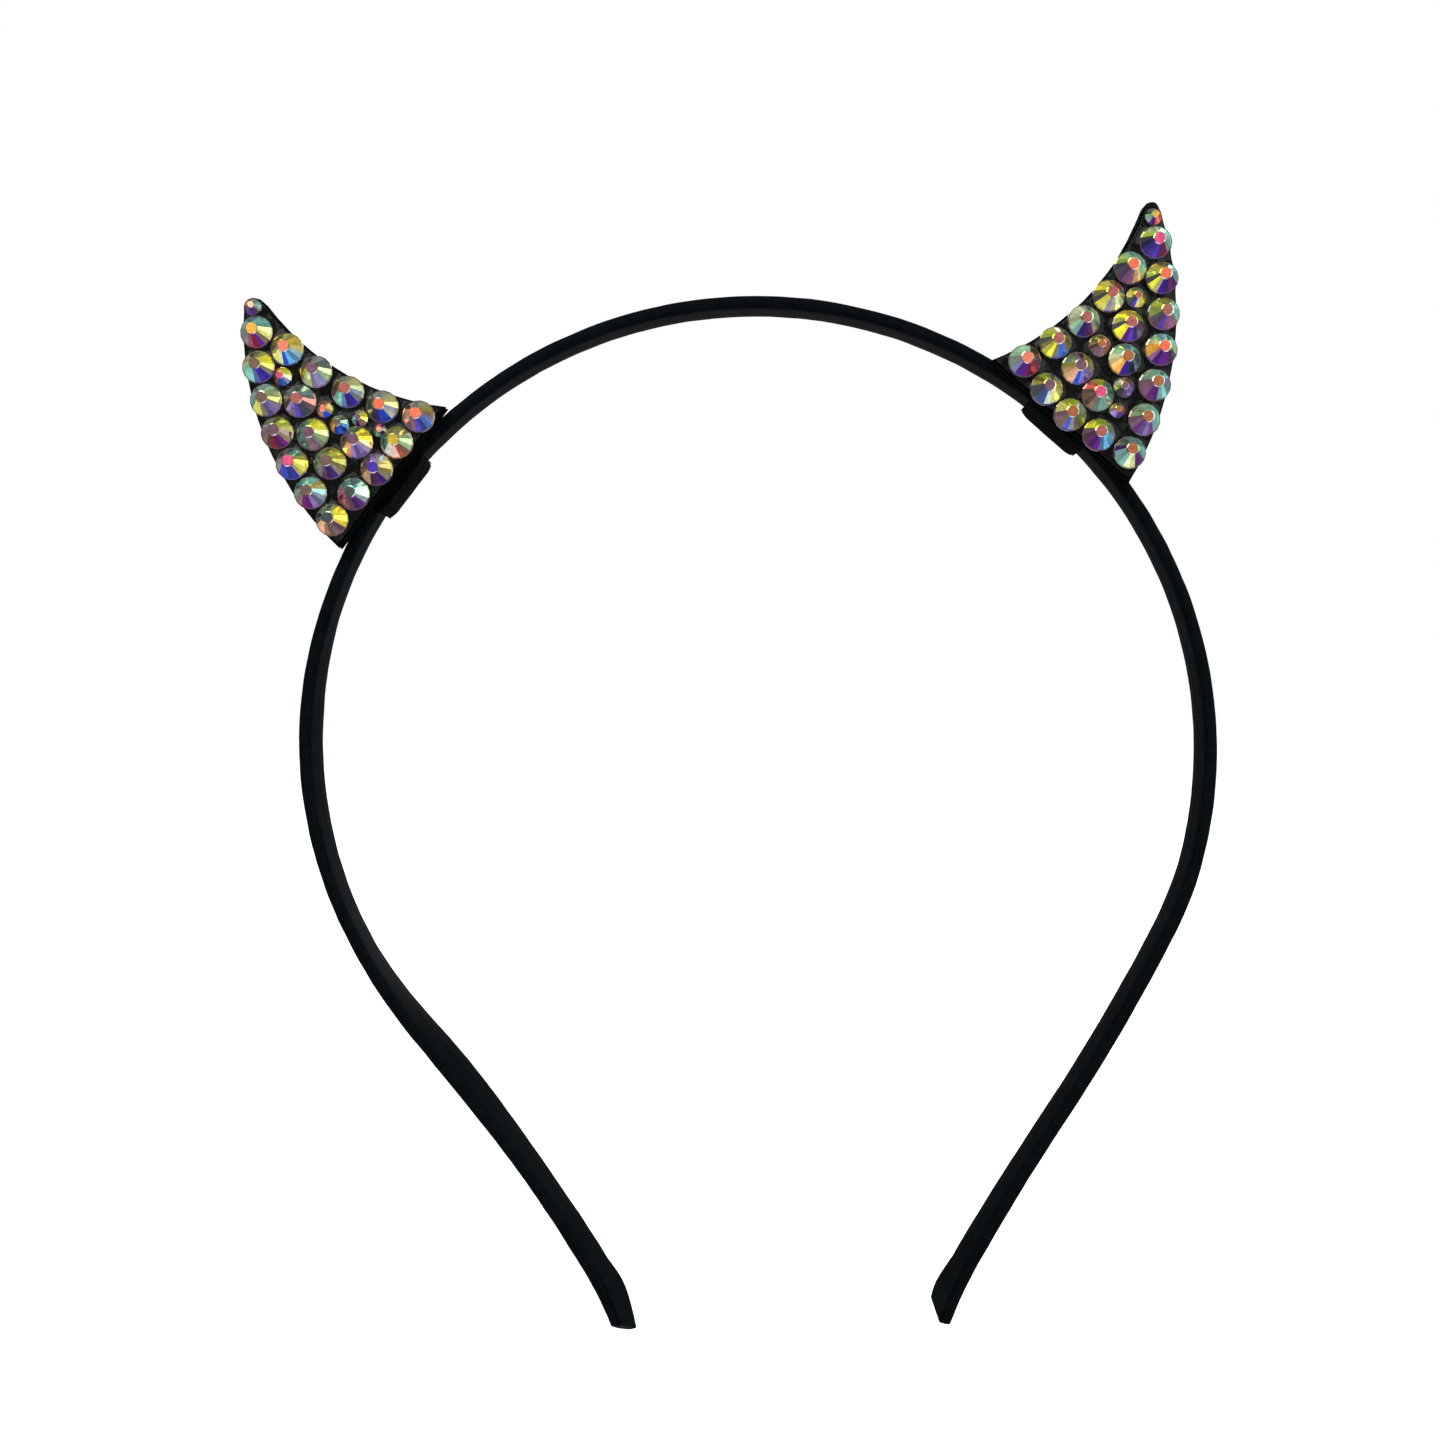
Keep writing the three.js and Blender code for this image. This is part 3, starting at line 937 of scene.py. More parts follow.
@dataclass
class SatinSleeve:
    """One half of the ribbon sleeve, from the top of the arch to the tip, in one piece.

    Its ribbon edges overlap along the inner face.
    """

    side: str
    thickness: float = 1.9 * MM
    width: float = 5.3 * MM
    corner: float = 0.8 * MM
    corner_steps: int = 5
    ring_spacing: float = 1.3 * MM
    crown: float = 0.07 * MM
    lip: float = 0.03 * MM
    lip_share: float = 0.3
    groove: float = 0.03 * MM
    groove_share: float = 0.05
    pucker: float = 0.06 * MM
    pucker_size: tuple[float, float, float] = (2.6, 3, 3)
    smooth_length: float = 6
    flex_angle: float = 22.0
    crown_reach: float = 20.0 * MM

    def section(self, bm: bmesh.types.BMesh) -> list[bmesh.types.BMEdge]:
        """Draws the sleeve's section at the top of the arch.

        Args:
            bm: an empty mesh.

        Returns:
            The section's edges, in the plane across the band.
        """
        ribbon_outline(bm, self.thickness, self.width, self.corner, self.corner_steps)
        half = self.width / 2 - self.corner
        for v in bm.verts:
            rise = max(0.0, 1 - (v.co.y / half) ** 2)
            outer = v.co.x > 0
            v.co.x += self.crown * rise if outer else -self.crown * rise
            if not outer and abs(v.co.y) < self.groove_share * half:
                v.co.x += self.groove
            elif not outer and 0 < v.co.y < self.lip_share * half:
                v.co.x -= self.lip
        ribbon = bm.verts.layers.float_vector.new("ribbon")
        for v in bm.verts:
            v[ribbon] = Vector((0, v.co.y, v.co.x)) / MM
        stand = Matrix(((0, 0, -1), (0, 1, 0), (1, 0, 0)))
        top = Vector((0, 0, ROUTES[self.side].top))
        for v in bm.verts:
            v.co = stand @ v.co + top
        return bm.edges[:]

    def build(self) -> bmesh.types.BMesh:
        """Spins the section along the arcs, and then turns each ring by the band's twist.

        Returns:
            The sleeve's mesh, closed at both ends.
        """
        route = ROUTES[self.side]
        bm = bmesh.new()
        edges = self.section(bm)
        ribbon = bm.verts.layers.float_vector["ribbon"]
        first = edges
        rings = [(0.0, bm.verts[:])]
        walked = 0.0
        for centre, radius, _, turn in route.arcs():
            steps = max(2, round(radius * turn / self.ring_spacing))
            for _ in range(steps):
                spun = bmesh.ops.spin(bm, geom=ring_of(edges), cent=centre, axis=(0, 1, 0),
                                      dvec=(0, 0, 0), angle=route.sign * turn / steps, steps=1,
                                      use_merge=False, use_normal_flip=False, use_duplicate=False)
                walked += radius * turn / steps
                edges = [g for g in spun["geom_last"] if isinstance(g, bmesh.types.BMEdge)]
                rings.append((walked, list({v for e in edges for v in e.verts})))
        for distance, ring in rings:
            here = route.at(distance)
            onwards = route.onwards(distance)
            for v in ring:
                trimmed, across = route.trimmed(distance, v.co.y)
                v.co += onwards * (trimmed - distance)
                v.co.y = across
            turned = Matrix.Rotation(-here.twist, 3, route.tangent(here.heading))
            bmesh.ops.rotate(bm, cent=here.point, matrix=turned, verts=ring)
            for v in ring:
                v[ribbon] = Vector((distance / MM, v[ribbon].y, v[ribbon].z))
        bmesh.ops.edgeloop_fill(bm, edges=first)
        bmesh.ops.edgeloop_fill(bm, edges=edges)
        bmesh.ops.recalc_face_normals(bm, faces=bm.faces)
        self.wrinkle(bm)
        return bm

    def wrinkle(self, bm: bmesh.types.BMesh) -> None:
        """Puckers the ribbon a little across its length, except at the crown's middle.

        Args:
            bm: the sleeve's mesh.
        """
        bm.normal_update()
        ribbon = bm.verts.layers.float_vector["ribbon"]
        seed = 11.0 if self.side == "left" else 23.0
        along, across, through = self.pucker_size
        for v in bm.verts:
            x, y, z = v[ribbon]
            fade = min(1.0, x / self.smooth_length)
            wave = noise.noise(Vector((x / along, y / across + seed, z / through)))
            v.co += v.normal * wave * self.pucker * fade

    def dress(self, wardrobe: Wardrobe) -> None:
        """Makes the sleeve in place of the satin covers.

        Args:
            wardrobe: the finishes.
        """
        route = ROUTES[self.side]
        sleeve = Piece(f"{self.side}_ribbon_sleeve", self.build()).into_scene(
            wardrobe.satin)
        station = route.bends[0].radius * math.radians(self.flex_angle)
        start = route.at(station - self.crown_reach).point
        end = route.at(station + route.arm_reach).point
        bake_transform(sleeve)
        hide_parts("crown_satin_cover", f"{self.side}_satin_cover")


@dataclass
class EndFold:
    """The ribbon's end: it runs thinly along the inner face and turns up over the tip."""

    side: str
    ribbon: float = 0.28 * MM
    corner_share: float = 0.45
    width: float = 5.3 * MM
    band_thickness: float = 1.9 * MM
    length: float = 9.0 * MM
    taper: float = 6.0 * MM
    thin: float = 0.12
    start_width: float = 0.7
    gap: float = 0.02 * MM
    rounding: float = 0.25 * MM
    round_steps: int = 6
    rise_steps: int = 4
    spacing: float = 0.8 * MM

    def onwards(self, bm: bmesh.types.BMesh, edges: list, move: Vector) -> list:
        """Extrudes the ribbon's open end.

        Args:
            bm: the fold's mesh.
            edges: the open end.
            move: how far, in the straight band's own axes.

        Returns:
            The new open end.
        """
        made = bmesh.ops.extrude_edge_only(bm, edges=edges)["geom"]
        verts = [g for g in made if isinstance(g, bmesh.types.BMVert)]
        bmesh.ops.translate(bm, verts=verts, vec=move)
        return [g for g in made if isinstance(g, bmesh.types.BMEdge)
                and all(v in verts for v in g.verts)]

    def straight(self, length: float) -> bmesh.types.BMesh:
        """Makes the fold on a straight band: X along it, Y across it and Z outwards.

        Args:
            length: where the band ends.

        Returns:
            The mesh.
        """
        bm = bmesh.new()
        half = self.band_thickness / 2
        ribbon_outline(bm, self.ribbon, self.width, self.ribbon * self.corner_share, 3)
        bmesh.ops.rotate(bm, cent=(0, 0, 0), matrix=Matrix.Rotation(math.pi / 2, 3, "Y"),
                         verts=bm.verts)
        level = -half - self.gap - self.ribbon / 2
        bmesh.ops.translate(bm, verts=bm.verts, vec=(length - self.length, 0, level))
        first = bm.edges[:]
        edges = first
        steps = round(self.length / self.spacing)
        for _ in range(steps):
            edges = self.onwards(bm, edges, Vector((self.length / steps, 0, 0)))
        for v in bm.verts:
            share = min(1.0, (v.co.x - length + self.length) / self.taper)
            eased = self.thin + (1 - self.thin) * share * share * (3 - 2 * share)
            v.co.z = -half - self.gap * share - (-half - self.gap - v.co.z) * eased
            v.co.y *= self.start_width + (1 - self.start_width) * share
        spun = bmesh.ops.spin(bm, geom=ring_of(edges), cent=(length, 0, -half), axis=(0, 1, 0),
                              dvec=(0, 0, 0), angle=-math.radians(90), steps=self.round_steps,
                              use_merge=False, use_normal_flip=False, use_duplicate=False)
        edges = [g for g in spun["geom_last"] if isinstance(g, bmesh.types.BMEdge)]
        for _ in range(self.rise_steps):
            rise = (self.band_thickness - self.rounding) / self.rise_steps
            edges = self.onwards(bm, edges, Vector((0, 0, rise)))
        for v in bm.verts:
            v.co.x -= max(0.0, v.co.x - length) * max(0.0, v.co.z / half)
        bmesh.ops.edgeloop_fill(bm, edges=first)
        bmesh.ops.edgeloop_fill(bm, edges=edges)
        bmesh.ops.recalc_face_normals(bm, faces=bm.faces)
        return bm

    def dress(self, wardrobe: Wardrobe) -> None:
        """Bends the fold to the band and gives it the satin.

        Args:
            wardrobe: the finishes.
        """
        route = ROUTES[self.side]
        end = route.length
        bm = self.straight(end)
        ribbon = bm.verts.layers.float_vector.new("ribbon")
        for v in bm.verts:
            x, y, z = v.co
            v[ribbon] = Vector((x, y, z)) / MM
            onto = min(x, end)
            trimmed, across = route.trimmed(onto, y)
            beyond = trimmed - onto + max(0.0, x - end)
            v.co = route.place(onto, across, z) + route.onwards(onto) * beyond
        bmesh.ops.recalc_face_normals(bm, faces=bm.faces)
        fold = Piece(f"{self.side}_ribbon_end", bm).into_scene(wardrobe.satin)
        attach(fold, f"{self.side}_arm")
        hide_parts(f"{self.side}_end_fold")


@dataclass
class Band:
    """The satin-covered spring band."""

    wardrobe: Wardrobe

    def build(self) -> None:
        """Makes the sleeves and end folds, and dresses the spring strips."""
        for side in BOTH_SIDES:
            SatinSleeve(side).dress(self.wardrobe)
            EndFold(side).dress(self.wardrobe)
        for body in ("crown", *BOTH_SIDES):
            dress_node(f"{body}_spring_strip", self.wardrobe.steel)


# ---------------------------------------------------------------- crystals


@dataclass(frozen=True)
class Cut:
    """A crystal's colours: its table, and its ring clockwise from the top as seen in front."""

    table: Tone
    ring: tuple[Tone, ...]


TONES = {
    "left_outer_crystal": """
        slate: teal lemon gold mauve brown peach smoke sage
        brown: aqua straw teal lilac purple crimson fog teal
        pink: teal olive lemon indigo cobalt violet fog brown
        mauve: olive lime olive purple crimson brown mauve fog
        brown: mint sage olive lilac violet lemon teal fog
        brown: sage lemon olive indigo violet aqua mint olive
        amber: teal aqua straw purple crimson mauve fog teal
    """,
    "left_inner_crystal": """
        coral: fog olive brown denim violet mauve peach brown
        coral: fog straw straw cobalt indigo slate sage brown
        rose: fog straw sage indigo violet aqua brown olive
        mauve: fog slate sage teal lilac cream olive brown
        salmon: olive gold olive sky cobalt cream brown olive
    """,
    "left_base_crystal": """
        smoke: teal aqua mint purple plum mauve pink teal
        violet: lilac straw olive indigo plum peach brown mauve
        gold: olive sage sage rose coral white teal olive
    """,
    "left_field_crystal": """
        brown: olive lime olive violet purple mauve teal sage
        mauve: sage lemon gold lilac violet peach brown mauve
        mauve: lime lemon sage slate mauve fog teal teal
        rose: fog teal rose slate violet lilac brown fog
    """,
    "left_tip_crystal": """
        peach: fog teal fog slate purple violet brown salmon
    """,
    "left_filler": """
        pink: gold lemon straw denim cobalt rose brown coral
        salmon: rose straw olive cobalt indigo peach brown rose
        brown: teal olive teal cobalt cobalt amber rust olive
        mauve: fog lemon lemon brown plum teal aqua mauve
        peach: pink brown fog plum slate teal brown pink
    """,
    "right_outer_crystal": """
        rust: teal teal aqua plum cream aqua plum sage
        rust: mint aqua aqua plum lilac purple mauve sage
        rust: mint aqua lilac aqua purple plum mauve mint
        coral: aqua aqua mint plum purple indigo amber mint
        rose: olive aqua aqua rose violet mauve slate lime
        coral: olive aqua aqua plum indigo lemon slate lemon
        pink: mint aqua aqua crimson violet indigo slate lime
    """,
    "right_inner_crystal": """
        salmon: mint brown mauve crimson purple violet fog mint
        rose: straw fog olive denim cobalt lemon slate lime
        rose: fog mint mint plum indigo mint slate cream
        rose: olive rose fog cream violet lemon slate lemon
        coral: aqua mint aqua amber mauve plum slate lime
    """,
    "right_base_crystal": """
        rose: lime sage fog sky purple plum mauve lemon
        rust: lime fog sage olive cobalt brown mauve straw
        mauve: lime fog lemon cream cobalt denim slate olive
    """,
    "right_field_crystal": """
        pink: lime teal teal fog teal brown brown coral
        mauve: mauve olive straw lilac cobalt peach olive sage
        rust: teal aqua teal navy indigo amber cream mint
        rose: gold lime mauve violet purple lemon slate lemon
    """,
    "right_tip_crystal": """
        gold: fog amber coral coral purple purple mint slate
    """,
    "right_small_crystal": """
        rose: sage fog olive lemon violet navy slate lemon
        rust: olive peach rose rose mauve mauve brown olive
    """,
    "right_filler": """
        mauve: rose olive lilac violet mauve slate lime fog
        rust: olive fog rust violet plum lilac mauve straw
    """,
}


def read_cuts(tones: dict[str, str]) -> dict[str, Cut]:
    """Reads the crystals' colours.

    Args:
        tones: by row of crystals, a line for each crystal: its table's tone, and after a colon
            the eight tones of its ring.

    Returns:
        The cuts by crystal. Crystals of one row are numbered from 1, unless there is only one.
    """
    cuts = {}
    for row, text in tones.items():
        lines = text.strip().splitlines()
        for number, line in enumerate(lines, start=1):
            table, ring = line.upper().split(":")
            name = row if len(lines) == 1 else f"{row}_{number}"
            cuts[name] = Cut(Tone[table.strip()], tuple(Tone[word] for word in ring.split()))
    return cuts


CUTS = read_cuts(TONES)


@dataclass(frozen=True)
class FacetLook:
    """How facets are shaded: shares of a tone's brightness, and the limits between facets."""

    shades: tuple[float, ...] = (0.42, 0.65, 0.9, 1.0, 1.15)
    pale_from: float = 0.3
    pale_shade: float = 0.95
    steep: float = 0.2
    level: float = 0.99
    fan_share: float = 0.9
    fan_shade: float = 0.72
    fan_gain: float = 0.34
    flash_fade: float = 0.7
    bleed: tuple[float, ...] = (0.0, 0.0, 0.25, 0.5)
    # The next six fields paint a highlight: a white crescent on the ring round the table, towards a
    # side picked at random, over a ring kept at a share of its tone.
    painted_highlight_angle: tuple[float, float] = (115, 200)
    arc_reach: float = 1.4
    painted_highlight_sharpness: int = 4
    painted_highlight_white: float = 0.9
    arc_shade: float = 0.55
    painted_highlight_gain: float = 0.35
    rim_brown: float = 0.5
    rim_shade: float = 0.62
    side_shade: float = 0.45


@dataclass
class Crystal:
    """A flat-back crystal: a flat table, a fan of facets and a clear rim.

    Sizes are shares of its diameter.
    """

    name: str
    seat: Vector
    diameter: float
    facets: int = 16
    table: float = 0.365
    fan: float = 0.92
    height: float = 0.4
    rim_low: float = 0.045
    rim_high: float = 0.1
    rim_slope: float = 0.025
    back: float = 0.9
    table_edge: float = 0.016
    table_shift: tuple[float, float] = (0.035, 0.05)
    tilt: float = 2.5

    def profile(self, bm: bmesh.types.BMesh) -> None:
        """Shapes the crystal round Z, with its flat back at 0.

        Args:
            bm: an empty mesh.
        """
        d = self.diameter
        shoulder = self.rim_high + self.rim_slope
        crown = self.height - shoulder
        cone = bmesh.ops.create_cone(bm, cap_ends=True, cap_tris=False, segments=self.facets,
                                     radius1=self.fan * d / 2, radius2=self.table * d / 2,
                                     depth=crown * d)
        bmesh.ops.translate(bm, verts=cone["verts"], vec=(0, 0, (shoulder + crown / 2) * d))
        bottom = min(bm.faces, key=lambda f: f.calc_center_median().z)
        steps = ((self.rim_high, 1 / self.fan), (self.rim_low, 1.0), (0.0, self.back))
        for level, widen in steps:
            out = bmesh.ops.extrude_face_region(bm, geom=[bottom])["geom"]
            bmesh.ops.delete(bm, geom=[bottom], context="FACES_ONLY")
            bottom = next(g for g in out if isinstance(g, bmesh.types.BMFace))
            for v in bottom.verts:
                v.co = Vector((v.co.x * widen, v.co.y * widen, level * d))
        top = max(bm.faces, key=lambda f: f.calc_center_median().z)
        bmesh.ops.bevel(bm, geom=top.edges[:], offset=self.table_edge * d, offset_type="OFFSET",
                        segments=1, profile=0.5, affect="EDGES", material=-1)
        hand = 1 if self.name.startswith("right") else -1
        shift = Vector((self.table_shift[0] * hand, self.table_shift[1], 0)) * d
        ring = [v for v in bm.verts if v.co.z > (self.height - 2 * self.table_edge) * d]
        bmesh.ops.translate(bm, verts=ring, vec=shift)
        bmesh.ops.recalc_face_normals(bm, faces=bm.faces)

    def paint(self, bm: bmesh.types.BMesh, dice: random.Random) -> None:
        """Colours each facet, a little brighter towards the rim.

        Args:
            bm: the crystal's mesh, round Z.
            dice: the crystal's own random numbers.
        """
        tones = CUTS[self.name]
        look = FacetLook()
        layer = bm.loops.layers.float_color.new("facet")
        radius = self.diameter / 2
        # The side of the painted highlight on the table's ring, picked for each crystal.
        painted_highlight_angle = dice.uniform(math.radians(look.painted_highlight_angle[0]), math.radians(look.painted_highlight_angle[1]))
        for face in bm.faces:
            middle = face.calc_center_median()
            reach = math.hypot(middle.x, middle.y) / radius
            angle = math.atan2(middle.x, middle.y) % (2 * math.pi)
            spot = angle / (2 * math.pi) * len(tones.ring)
            sector = round(spot)
            beside = sector + (1 if spot > sector else -1)
            tone, next_tone = (tones.ring[i % len(tones.ring)] for i in (sector, beside))
            colour = tone.vector
            bright = dice.choice(look.shades)
            if min(colour[:2]) > look.pale_from:
                bright = max(bright, look.pale_shade)
            up = face.normal.z
            near_table = middle.z > (self.height - self.table_edge) * self.diameter
            on_fan = (self.table < reach < self.fan * look.fan_share
                      and look.steep < up < look.level)
            if near_table and reach < self.table / 2:
                colour, bright = tones.table.vector, 1.0
            elif on_fan:
                narrow = tone.flashes and spot < sector
                share = look.flash_fade if narrow else dice.choice(look.bleed)
                colour = colour.lerp(next_tone.vector, share)
            # Painted highlight: the ring round the table is mixed towards white and brightened on
            # the highlight's side.
            elif reach < self.table * look.arc_reach and up > look.steep:
                lit = max(0.0, math.cos(angle - painted_highlight_angle)) ** look.painted_highlight_sharpness
                colour = colour.lerp(Tone.WHITE.vector, look.painted_highlight_white * lit)
                bright = look.arc_shade + look.painted_highlight_gain * lit
            elif up > look.steep:
                colour, bright = colour.lerp(Tone.BROWN.vector, look.rim_brown), look.rim_shade
            else:
                colour, bright = Tone.BROWN.vector, look.side_shade
            for loop in face.loops:
                out = math.hypot(loop.vert.co.x, loop.vert.co.y) / radius
                shade = bright * (look.fan_shade + look.fan_gain * out) if on_fan else bright
                loop[layer] = (*(colour * shade), 1.0)

    def build(self) -> bmesh.types.BMesh:
        """Cuts, paints and seats the crystal.

        Returns:
            Its mesh, in place.
        """
        dice = random.Random(self.name)
        bm = bmesh.new()
        self.profile(bm)
        phase = Matrix.Rotation(dice.uniform(0, 2 * math.pi / self.facets), 3, "Z")
        bmesh.ops.rotate(bm, cent=(0, 0, 0), matrix=phase, verts=bm.verts)
        self.paint(bm, dice)
        sway = random.Random(self.name + " lean")
        lean = Vector((sway.uniform(-1, 1), sway.uniform(-1, 1), 0)) * math.radians(self.tilt)
        leaned = Matrix.Rotation(lean.x, 3, "X") @ Matrix.Rotation(lean.y, 3, "Y")
        face_front = Matrix.Rotation(math.pi / 2, 3, "X")
        bmesh.ops.rotate(bm, cent=(0, 0, 0), matrix=face_front @ leaned, verts=bm.verts)
        bmesh.ops.translate(bm, verts=bm.verts, vec=self.seat)
        return bm


# ---------------------------------------------------------------- a horn


@dataclass(frozen=True)
class Filler:
    """A small crystal between the large ones, by shares of the horn's base and height."""

    across: float
    up: float
    diameter: float


@dataclass
class Horn:
    """A felt horn with its strap, glue film and crystals."""

    side: str
    along: float
    lift: float
    base: float
    fillers: tuple[Filler, ...]
    height: float = 34.1 * MM
    rim: float = 0.32 * MM
    pinch_width: float = 1.1 * MM
    seam: float = 0.02 * MM
    felt_lump: float = 2.4 * MM
    felt_wave: float = 0.07 * MM
    felt_cell: float = 1.1 * MM
    film_cell: float = 0.34 * MM
    pool_size: float = 1.4 * MM
    pool_depth: float = 0.12 * MM
    meniscus: float = 0.36 * MM
    meniscus_reach: float = 0.3 * MM
    strap_corner: float = 0.4 * MM
    strap_edge: float = 0.16 * MM
    strap_cell: float = 0.6 * MM
    strap_wave: float = 0.056 * MM
    strap_wall: float = 0.3 * MM
    sharp: float = 50
    strap_thinning: float = 0.4 * MM
    strap_thin_reach: float = 1.7 * MM

    @property
    def body(self) -> str:
        """The body that the horn rides on."""
        return f"{self.side}_arm"

    def felt(self, layer: str, outwards: float, wardrobe: Wardrobe) -> None:
        """Makes a felt layer whose rim is drawn in to meet the other's.

        Args:
            layer: back or front.
            outwards: -1 for the layer that faces -Y, and 1 for the other.
            wardrobe: the finishes.
        """
        node = f"{self.side}_{layer}_felt"
        other = f"{self.side}_{'back' if layer == 'front' else 'front'}_felt"
        (low, high), (other_low, other_high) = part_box(node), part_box(other)
        inner_y, facing = (high.y, other_low.y) if outwards < 0 else (low.y, other_high.y)
        outer_y = low.y if outwards < 0 else high.y
        middle = (inner_y + facing) / 2
        bm = copy_of_node(node)
        inner = max(bm.faces, key=lambda f: (-outwards * f.normal.y, f.calc_area()))
        rim = inner.verts[:]
        bmesh.ops.inset_region(bm, faces=[inner], thickness=self.pinch_width,
                               use_even_offset=True, use_boundary=True)
        for v in rim:
            v.co.y = middle + outwards * self.seam
        outer = [e for e in bm.edges if all(abs(v.co.y - outer_y) < TOUCH for v in e.verts)]
        bmesh.ops.bevel(bm, geom=outer, offset=self.rim, offset_type="OFFSET", segments=4,
                        profile=0.5, affect="EDGES", material=-1, clamp_overlap=True)
        cut_into_cells(bm, self.felt_cell)
        soften(bm, self.felt_lump, self.felt_wave, seed=self.along * 100 + outwards)
        made = Piece(f"{self.side}_{layer}_felt_panel", bm).into_scene(
            wardrobe.felt)
        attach(made, self.body)
        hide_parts(node)

    def thin_ends(self, bm: bmesh.types.BMesh) -> None:
        """Draws the strap's inner wall in to the band at both ends, as pressed felt is.

        Args:
            bm: the strap's mesh.
        """
        here = ROUTES[self.side].at(self.along)
        tangent = ROUTES[self.side].tangent(here.heading)
        away = Vector((-tangent.z, 0, tangent.x))
        places = [(v, (v.co - here.point).dot(tangent), (v.co - here.point).dot(away))
                  for v in bm.verts]
        half = max(along for _, along, _ in places)
        lowest = min(out for _, _, out in places)
        for v, along, out in places:
            if out > lowest + self.strap_wall:
                continue
            share = max(0.0, 1 - (half - abs(along)) / self.strap_thin_reach)
            v.co += away * share * share * self.strap_thinning

    def strap(self, wardrobe: Wardrobe) -> None:
        """Rounds the wrap strap off, as folded felt is.

        Args:
            wardrobe: the finishes.
        """
        node = f"{self.side}_wrap_strap"
        bm = copy_of_node(node)
        low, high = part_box(node)
        deep = [e for e in bm.edges
                if abs(e.verts[0].co.y - e.verts[1].co.y) > 0.9 * (high.y - low.y)]
        corners = [e for e in deep if e.calc_face_angle(0.0) > math.radians(self.sharp)]
        bmesh.ops.bevel(bm, geom=corners, offset=self.strap_corner, offset_type="OFFSET",
                        segments=4, profile=0.5, affect="EDGES", material=-1)
        round_edges(bm, self.sharp, self.strap_edge, 3)
        cut_into_cells(bm, self.strap_cell)
        self.thin_ends(bm)
        soften(bm, self.felt_lump, self.strap_wave, seed=self.base * 100)
        made = Piece(f"{self.side}_felt_strap", bm).into_scene(wardrobe.strap)
        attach(made, self.body)
        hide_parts(node)

    def crystals(self) -> list[Crystal]:
        """Lists the horn's crystals: those with a node, and the fillers.

        Returns:
            The crystals.
        """
        made = []
        for node in sorted(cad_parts):
            if node.startswith(self.side) and "crystal" in node:
                low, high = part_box(node)
                seat = Vector(((low.x + high.x) / 2, high.y, (low.z + high.z) / 2))
                made.append(Crystal(node, seat, (high.y - low.y) / Crystal.height))
        depth = made[0].seat.y
        hand = -ROUTES[self.side].sign
        here = ROUTES[self.side].at(self.along)
        across = ROUTES[self.side].tangent(here.heading) * hand
        away = Vector((-across.z, 0, across.x)) * hand
        origin = here.point + away * self.lift
        for i, filler in enumerate(self.fillers):
            seat = (origin + across * (filler.across * self.base)
                    + away * (filler.up * self.height))
            seat.y = depth
            made.append(Crystal(f"{self.side}_filler_{i + 1}", seat, filler.diameter, facets=12))
        return made

    def glue(self, crystals: list[Crystal], wardrobe: Wardrobe) -> None:
        """Raises the glue film to a meniscus round each crystal.

        Args:
            crystals: the crystals that are set in it.
            wardrobe: the finishes.
        """
        node = f"{self.side}_glue_film"
        low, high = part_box(node)
        bm = copy_of_node(node)
        cut_into_cells(bm, self.film_cell)
        for v in bm.verts:
            if abs(v.co.y - low.y) > TOUCH:
                continue
            gaps = [math.hypot(v.co.x - c.seat.x, v.co.z - c.seat.z) - c.diameter / 2
                    for c in crystals]
            climb = sum(math.exp(-max(0.0, gap) / self.meniscus_reach) for gap in gaps)
            pool = 0.5 + noise.noise(v.co / self.pool_size)
            v.co.y -= self.meniscus * min(1.0, climb) + pool * self.pool_depth
        made = Piece(f"{self.side}_glue", bm, smooth_below=70).into_scene(
            wardrobe.glue)
        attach(made, self.body)
        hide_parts(node)

    def build(self, wardrobe: Wardrobe) -> None:
        """Makes the whole horn.

        Args:
            wardrobe: the finishes.
        """
        self.felt("back", 1.0, wardrobe)
        self.felt("front", -1.0, wardrobe)
        dress_node(f"{self.side}_horn_card", wardrobe.card)
        self.strap(wardrobe)
        crystals = self.crystals()
        self.glue(crystals, wardrobe)
        for crystal in crystals:
            gem = Piece(crystal.name.replace("crystal", "gem"), crystal.build(), 5.0).into_scene(
                wardrobe.glass)
            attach(gem, self.body)
            if crystal.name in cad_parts:
                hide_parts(crystal.name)


HORNS = (
    Horn(
        side="left", along=61.4 * MM, lift=-0.6 * MM, base=25.6 * MM,
        fillers=(Filler(0.075, 0.618, 2.85 * MM), Filler(0.073, 0.39, 2.6 * MM),
                 Filler(0.056, 0.304, 2.95 * MM), Filler(0.151, 0.251, 2.6 * MM),
                 Filler(0.168, 0.15, 2.3 * MM)),
    ),
    Horn(
        side="right", along=49.2 * MM, lift=-1.7 * MM, base=26.7 * MM,
        fillers=(Filler(-0.131, 0.275, 3.05 * MM), Filler(-0.189, 0.185, 2.5 * MM)),
    ),
)


# ---------------------------------------------------------------- the studio


@dataclass(frozen=True)
class Softbox:
    """A square area light that faces the headband."""

    name: str
    place: tuple[float, float, float]
    size: float
    power: float

    def build(self, target: Vector) -> None:
        """Hangs the light.

        Args:
            target: what it faces.
        """
        data = bpy.data.lights.new(self.name, "AREA")
        data.size = self.size
        data.energy = self.power
        light = bpy.data.objects.new(self.name, data)
        light.location = self.place
        light.rotation_euler = (target - Vector(self.place)).to_track_quat("-Z", "Y").to_euler()
        bpy.context.scene.collection.objects.link(light)


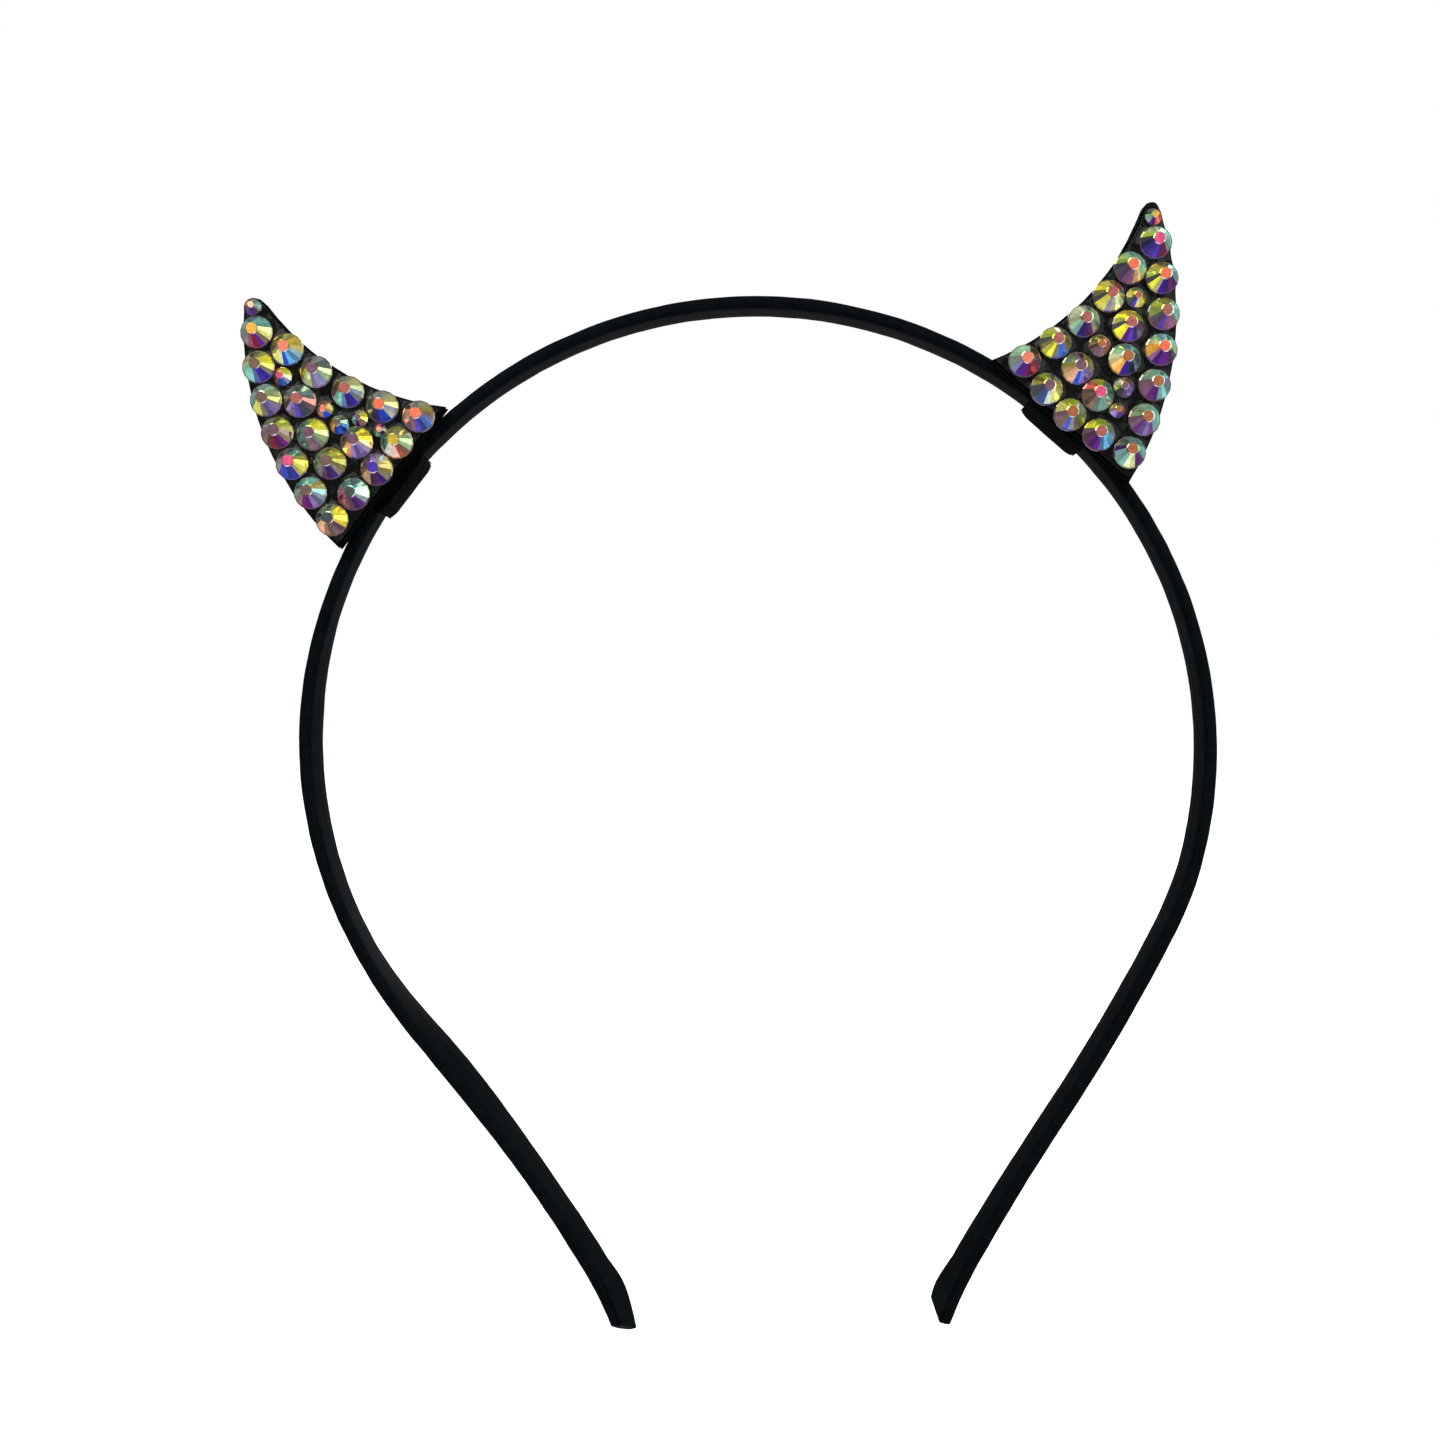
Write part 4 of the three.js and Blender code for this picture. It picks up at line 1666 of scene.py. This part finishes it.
@dataclass
class Studio:
    """A pale floor, soft light from all round, and the camera."""

    floor_gap: float = 0.5 * MM
    floor_reach: float = 6.0
    surround_low: float = 0.175
    surround_high: float = 0.575
    surround_front: float = 0.25
    camera_place: tuple[float, float, float] = (-5.36 * MM, -200 * MM, -60.6 * MM)
    lens: float = 33.6
    sensor: float = 36.0
    boxes: tuple[Softbox, ...] = (
        Softbox("key", (-0.35, -0.7, 0.55), 0.5, 7.0),
        Softbox("fill", (0.6, -0.5, 0.2), 0.6, 4.0),
        Softbox("rear", (0.2, 0.8, 0.5), 0.8, 7.0),
    )

    def floor(self) -> None:
        """Lays the floor under the lowest tip."""
        low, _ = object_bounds()
        bm = bmesh.new()
        bmesh.ops.create_circle(bm, cap_ends=True, segments=64, radius=self.floor_reach)
        bmesh.ops.translate(bm, verts=bm.verts, vec=(0, 0, low.z - self.floor_gap))
        data = bpy.data.meshes.new("floor")
        bm.to_mesh(data)
        bm.free()
        data.materials.append(StudioPaper("studio_paper").material())
        floor = bpy.data.objects.new("floor", data)
        bpy.context.scene.collection.objects.link(floor)
        floor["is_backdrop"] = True

    def world(self) -> None:
        """Sets a white surround that is a little brighter above, and plain white behind."""
        world = bpy.data.worlds.new("surround")
        world.use_nodes = True
        bpy.context.scene.world = world
        n = Nodes(world.node_tree)
        world.node_tree.nodes.clear()
        way = n.add("SeparateXYZ", {0: n.add("TexCoord").outputs["Generated"]}).outputs
        above = n.ramp(way["Z"], -1.0, 1.0, self.surround_low, self.surround_high)
        level = n.maths("ADD", above, n.ramp(way["Y"], -1.0, 0.2, self.surround_front, 0.0))
        around = n.add("Background", {"Strength": level}).outputs[0]
        white = n.add("Background", {"Color": (1, 1, 1, 1), "Strength": 1.0}).outputs[0]
        seen = n.add("LightPath").outputs["Is Camera Ray"]
        both = n.add("MixShader", {0: seen, 1: around, 2: white}).outputs[0]
        n.add("OutputWorld", {"Surface": both})

    def camera(self) -> None:
        """Sets the camera level in front of the headband."""
        data = bpy.data.cameras.new("camera")
        data.lens = self.lens
        data.sensor_width = self.sensor
        data.clip_start = 0.01
        camera = bpy.data.objects.new("camera", data)
        camera.location = self.camera_place
        camera.rotation_euler = (math.pi / 2, 0, 0)
        bpy.context.scene.collection.objects.link(camera)
        bpy.context.scene.camera = camera

    def build(self) -> None:
        """Sets up the whole studio."""
        low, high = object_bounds()
        self.camera()
        self.floor()
        self.world()
        for box in self.boxes:
            box.build((low + high) / 2)
        bpy.context.scene.view_settings.view_transform = "Standard"


def main() -> None:
    """Builds the headband and the studio."""
    logging.basicConfig(level=logging.INFO, format="%(name)s: %(message)s")
    wardrobe = Wardrobe()
    Band(wardrobe).build()
    for horn in HORNS:
        horn.build(wardrobe)
    Studio().build()


if __name__ == "__main__":
    main()
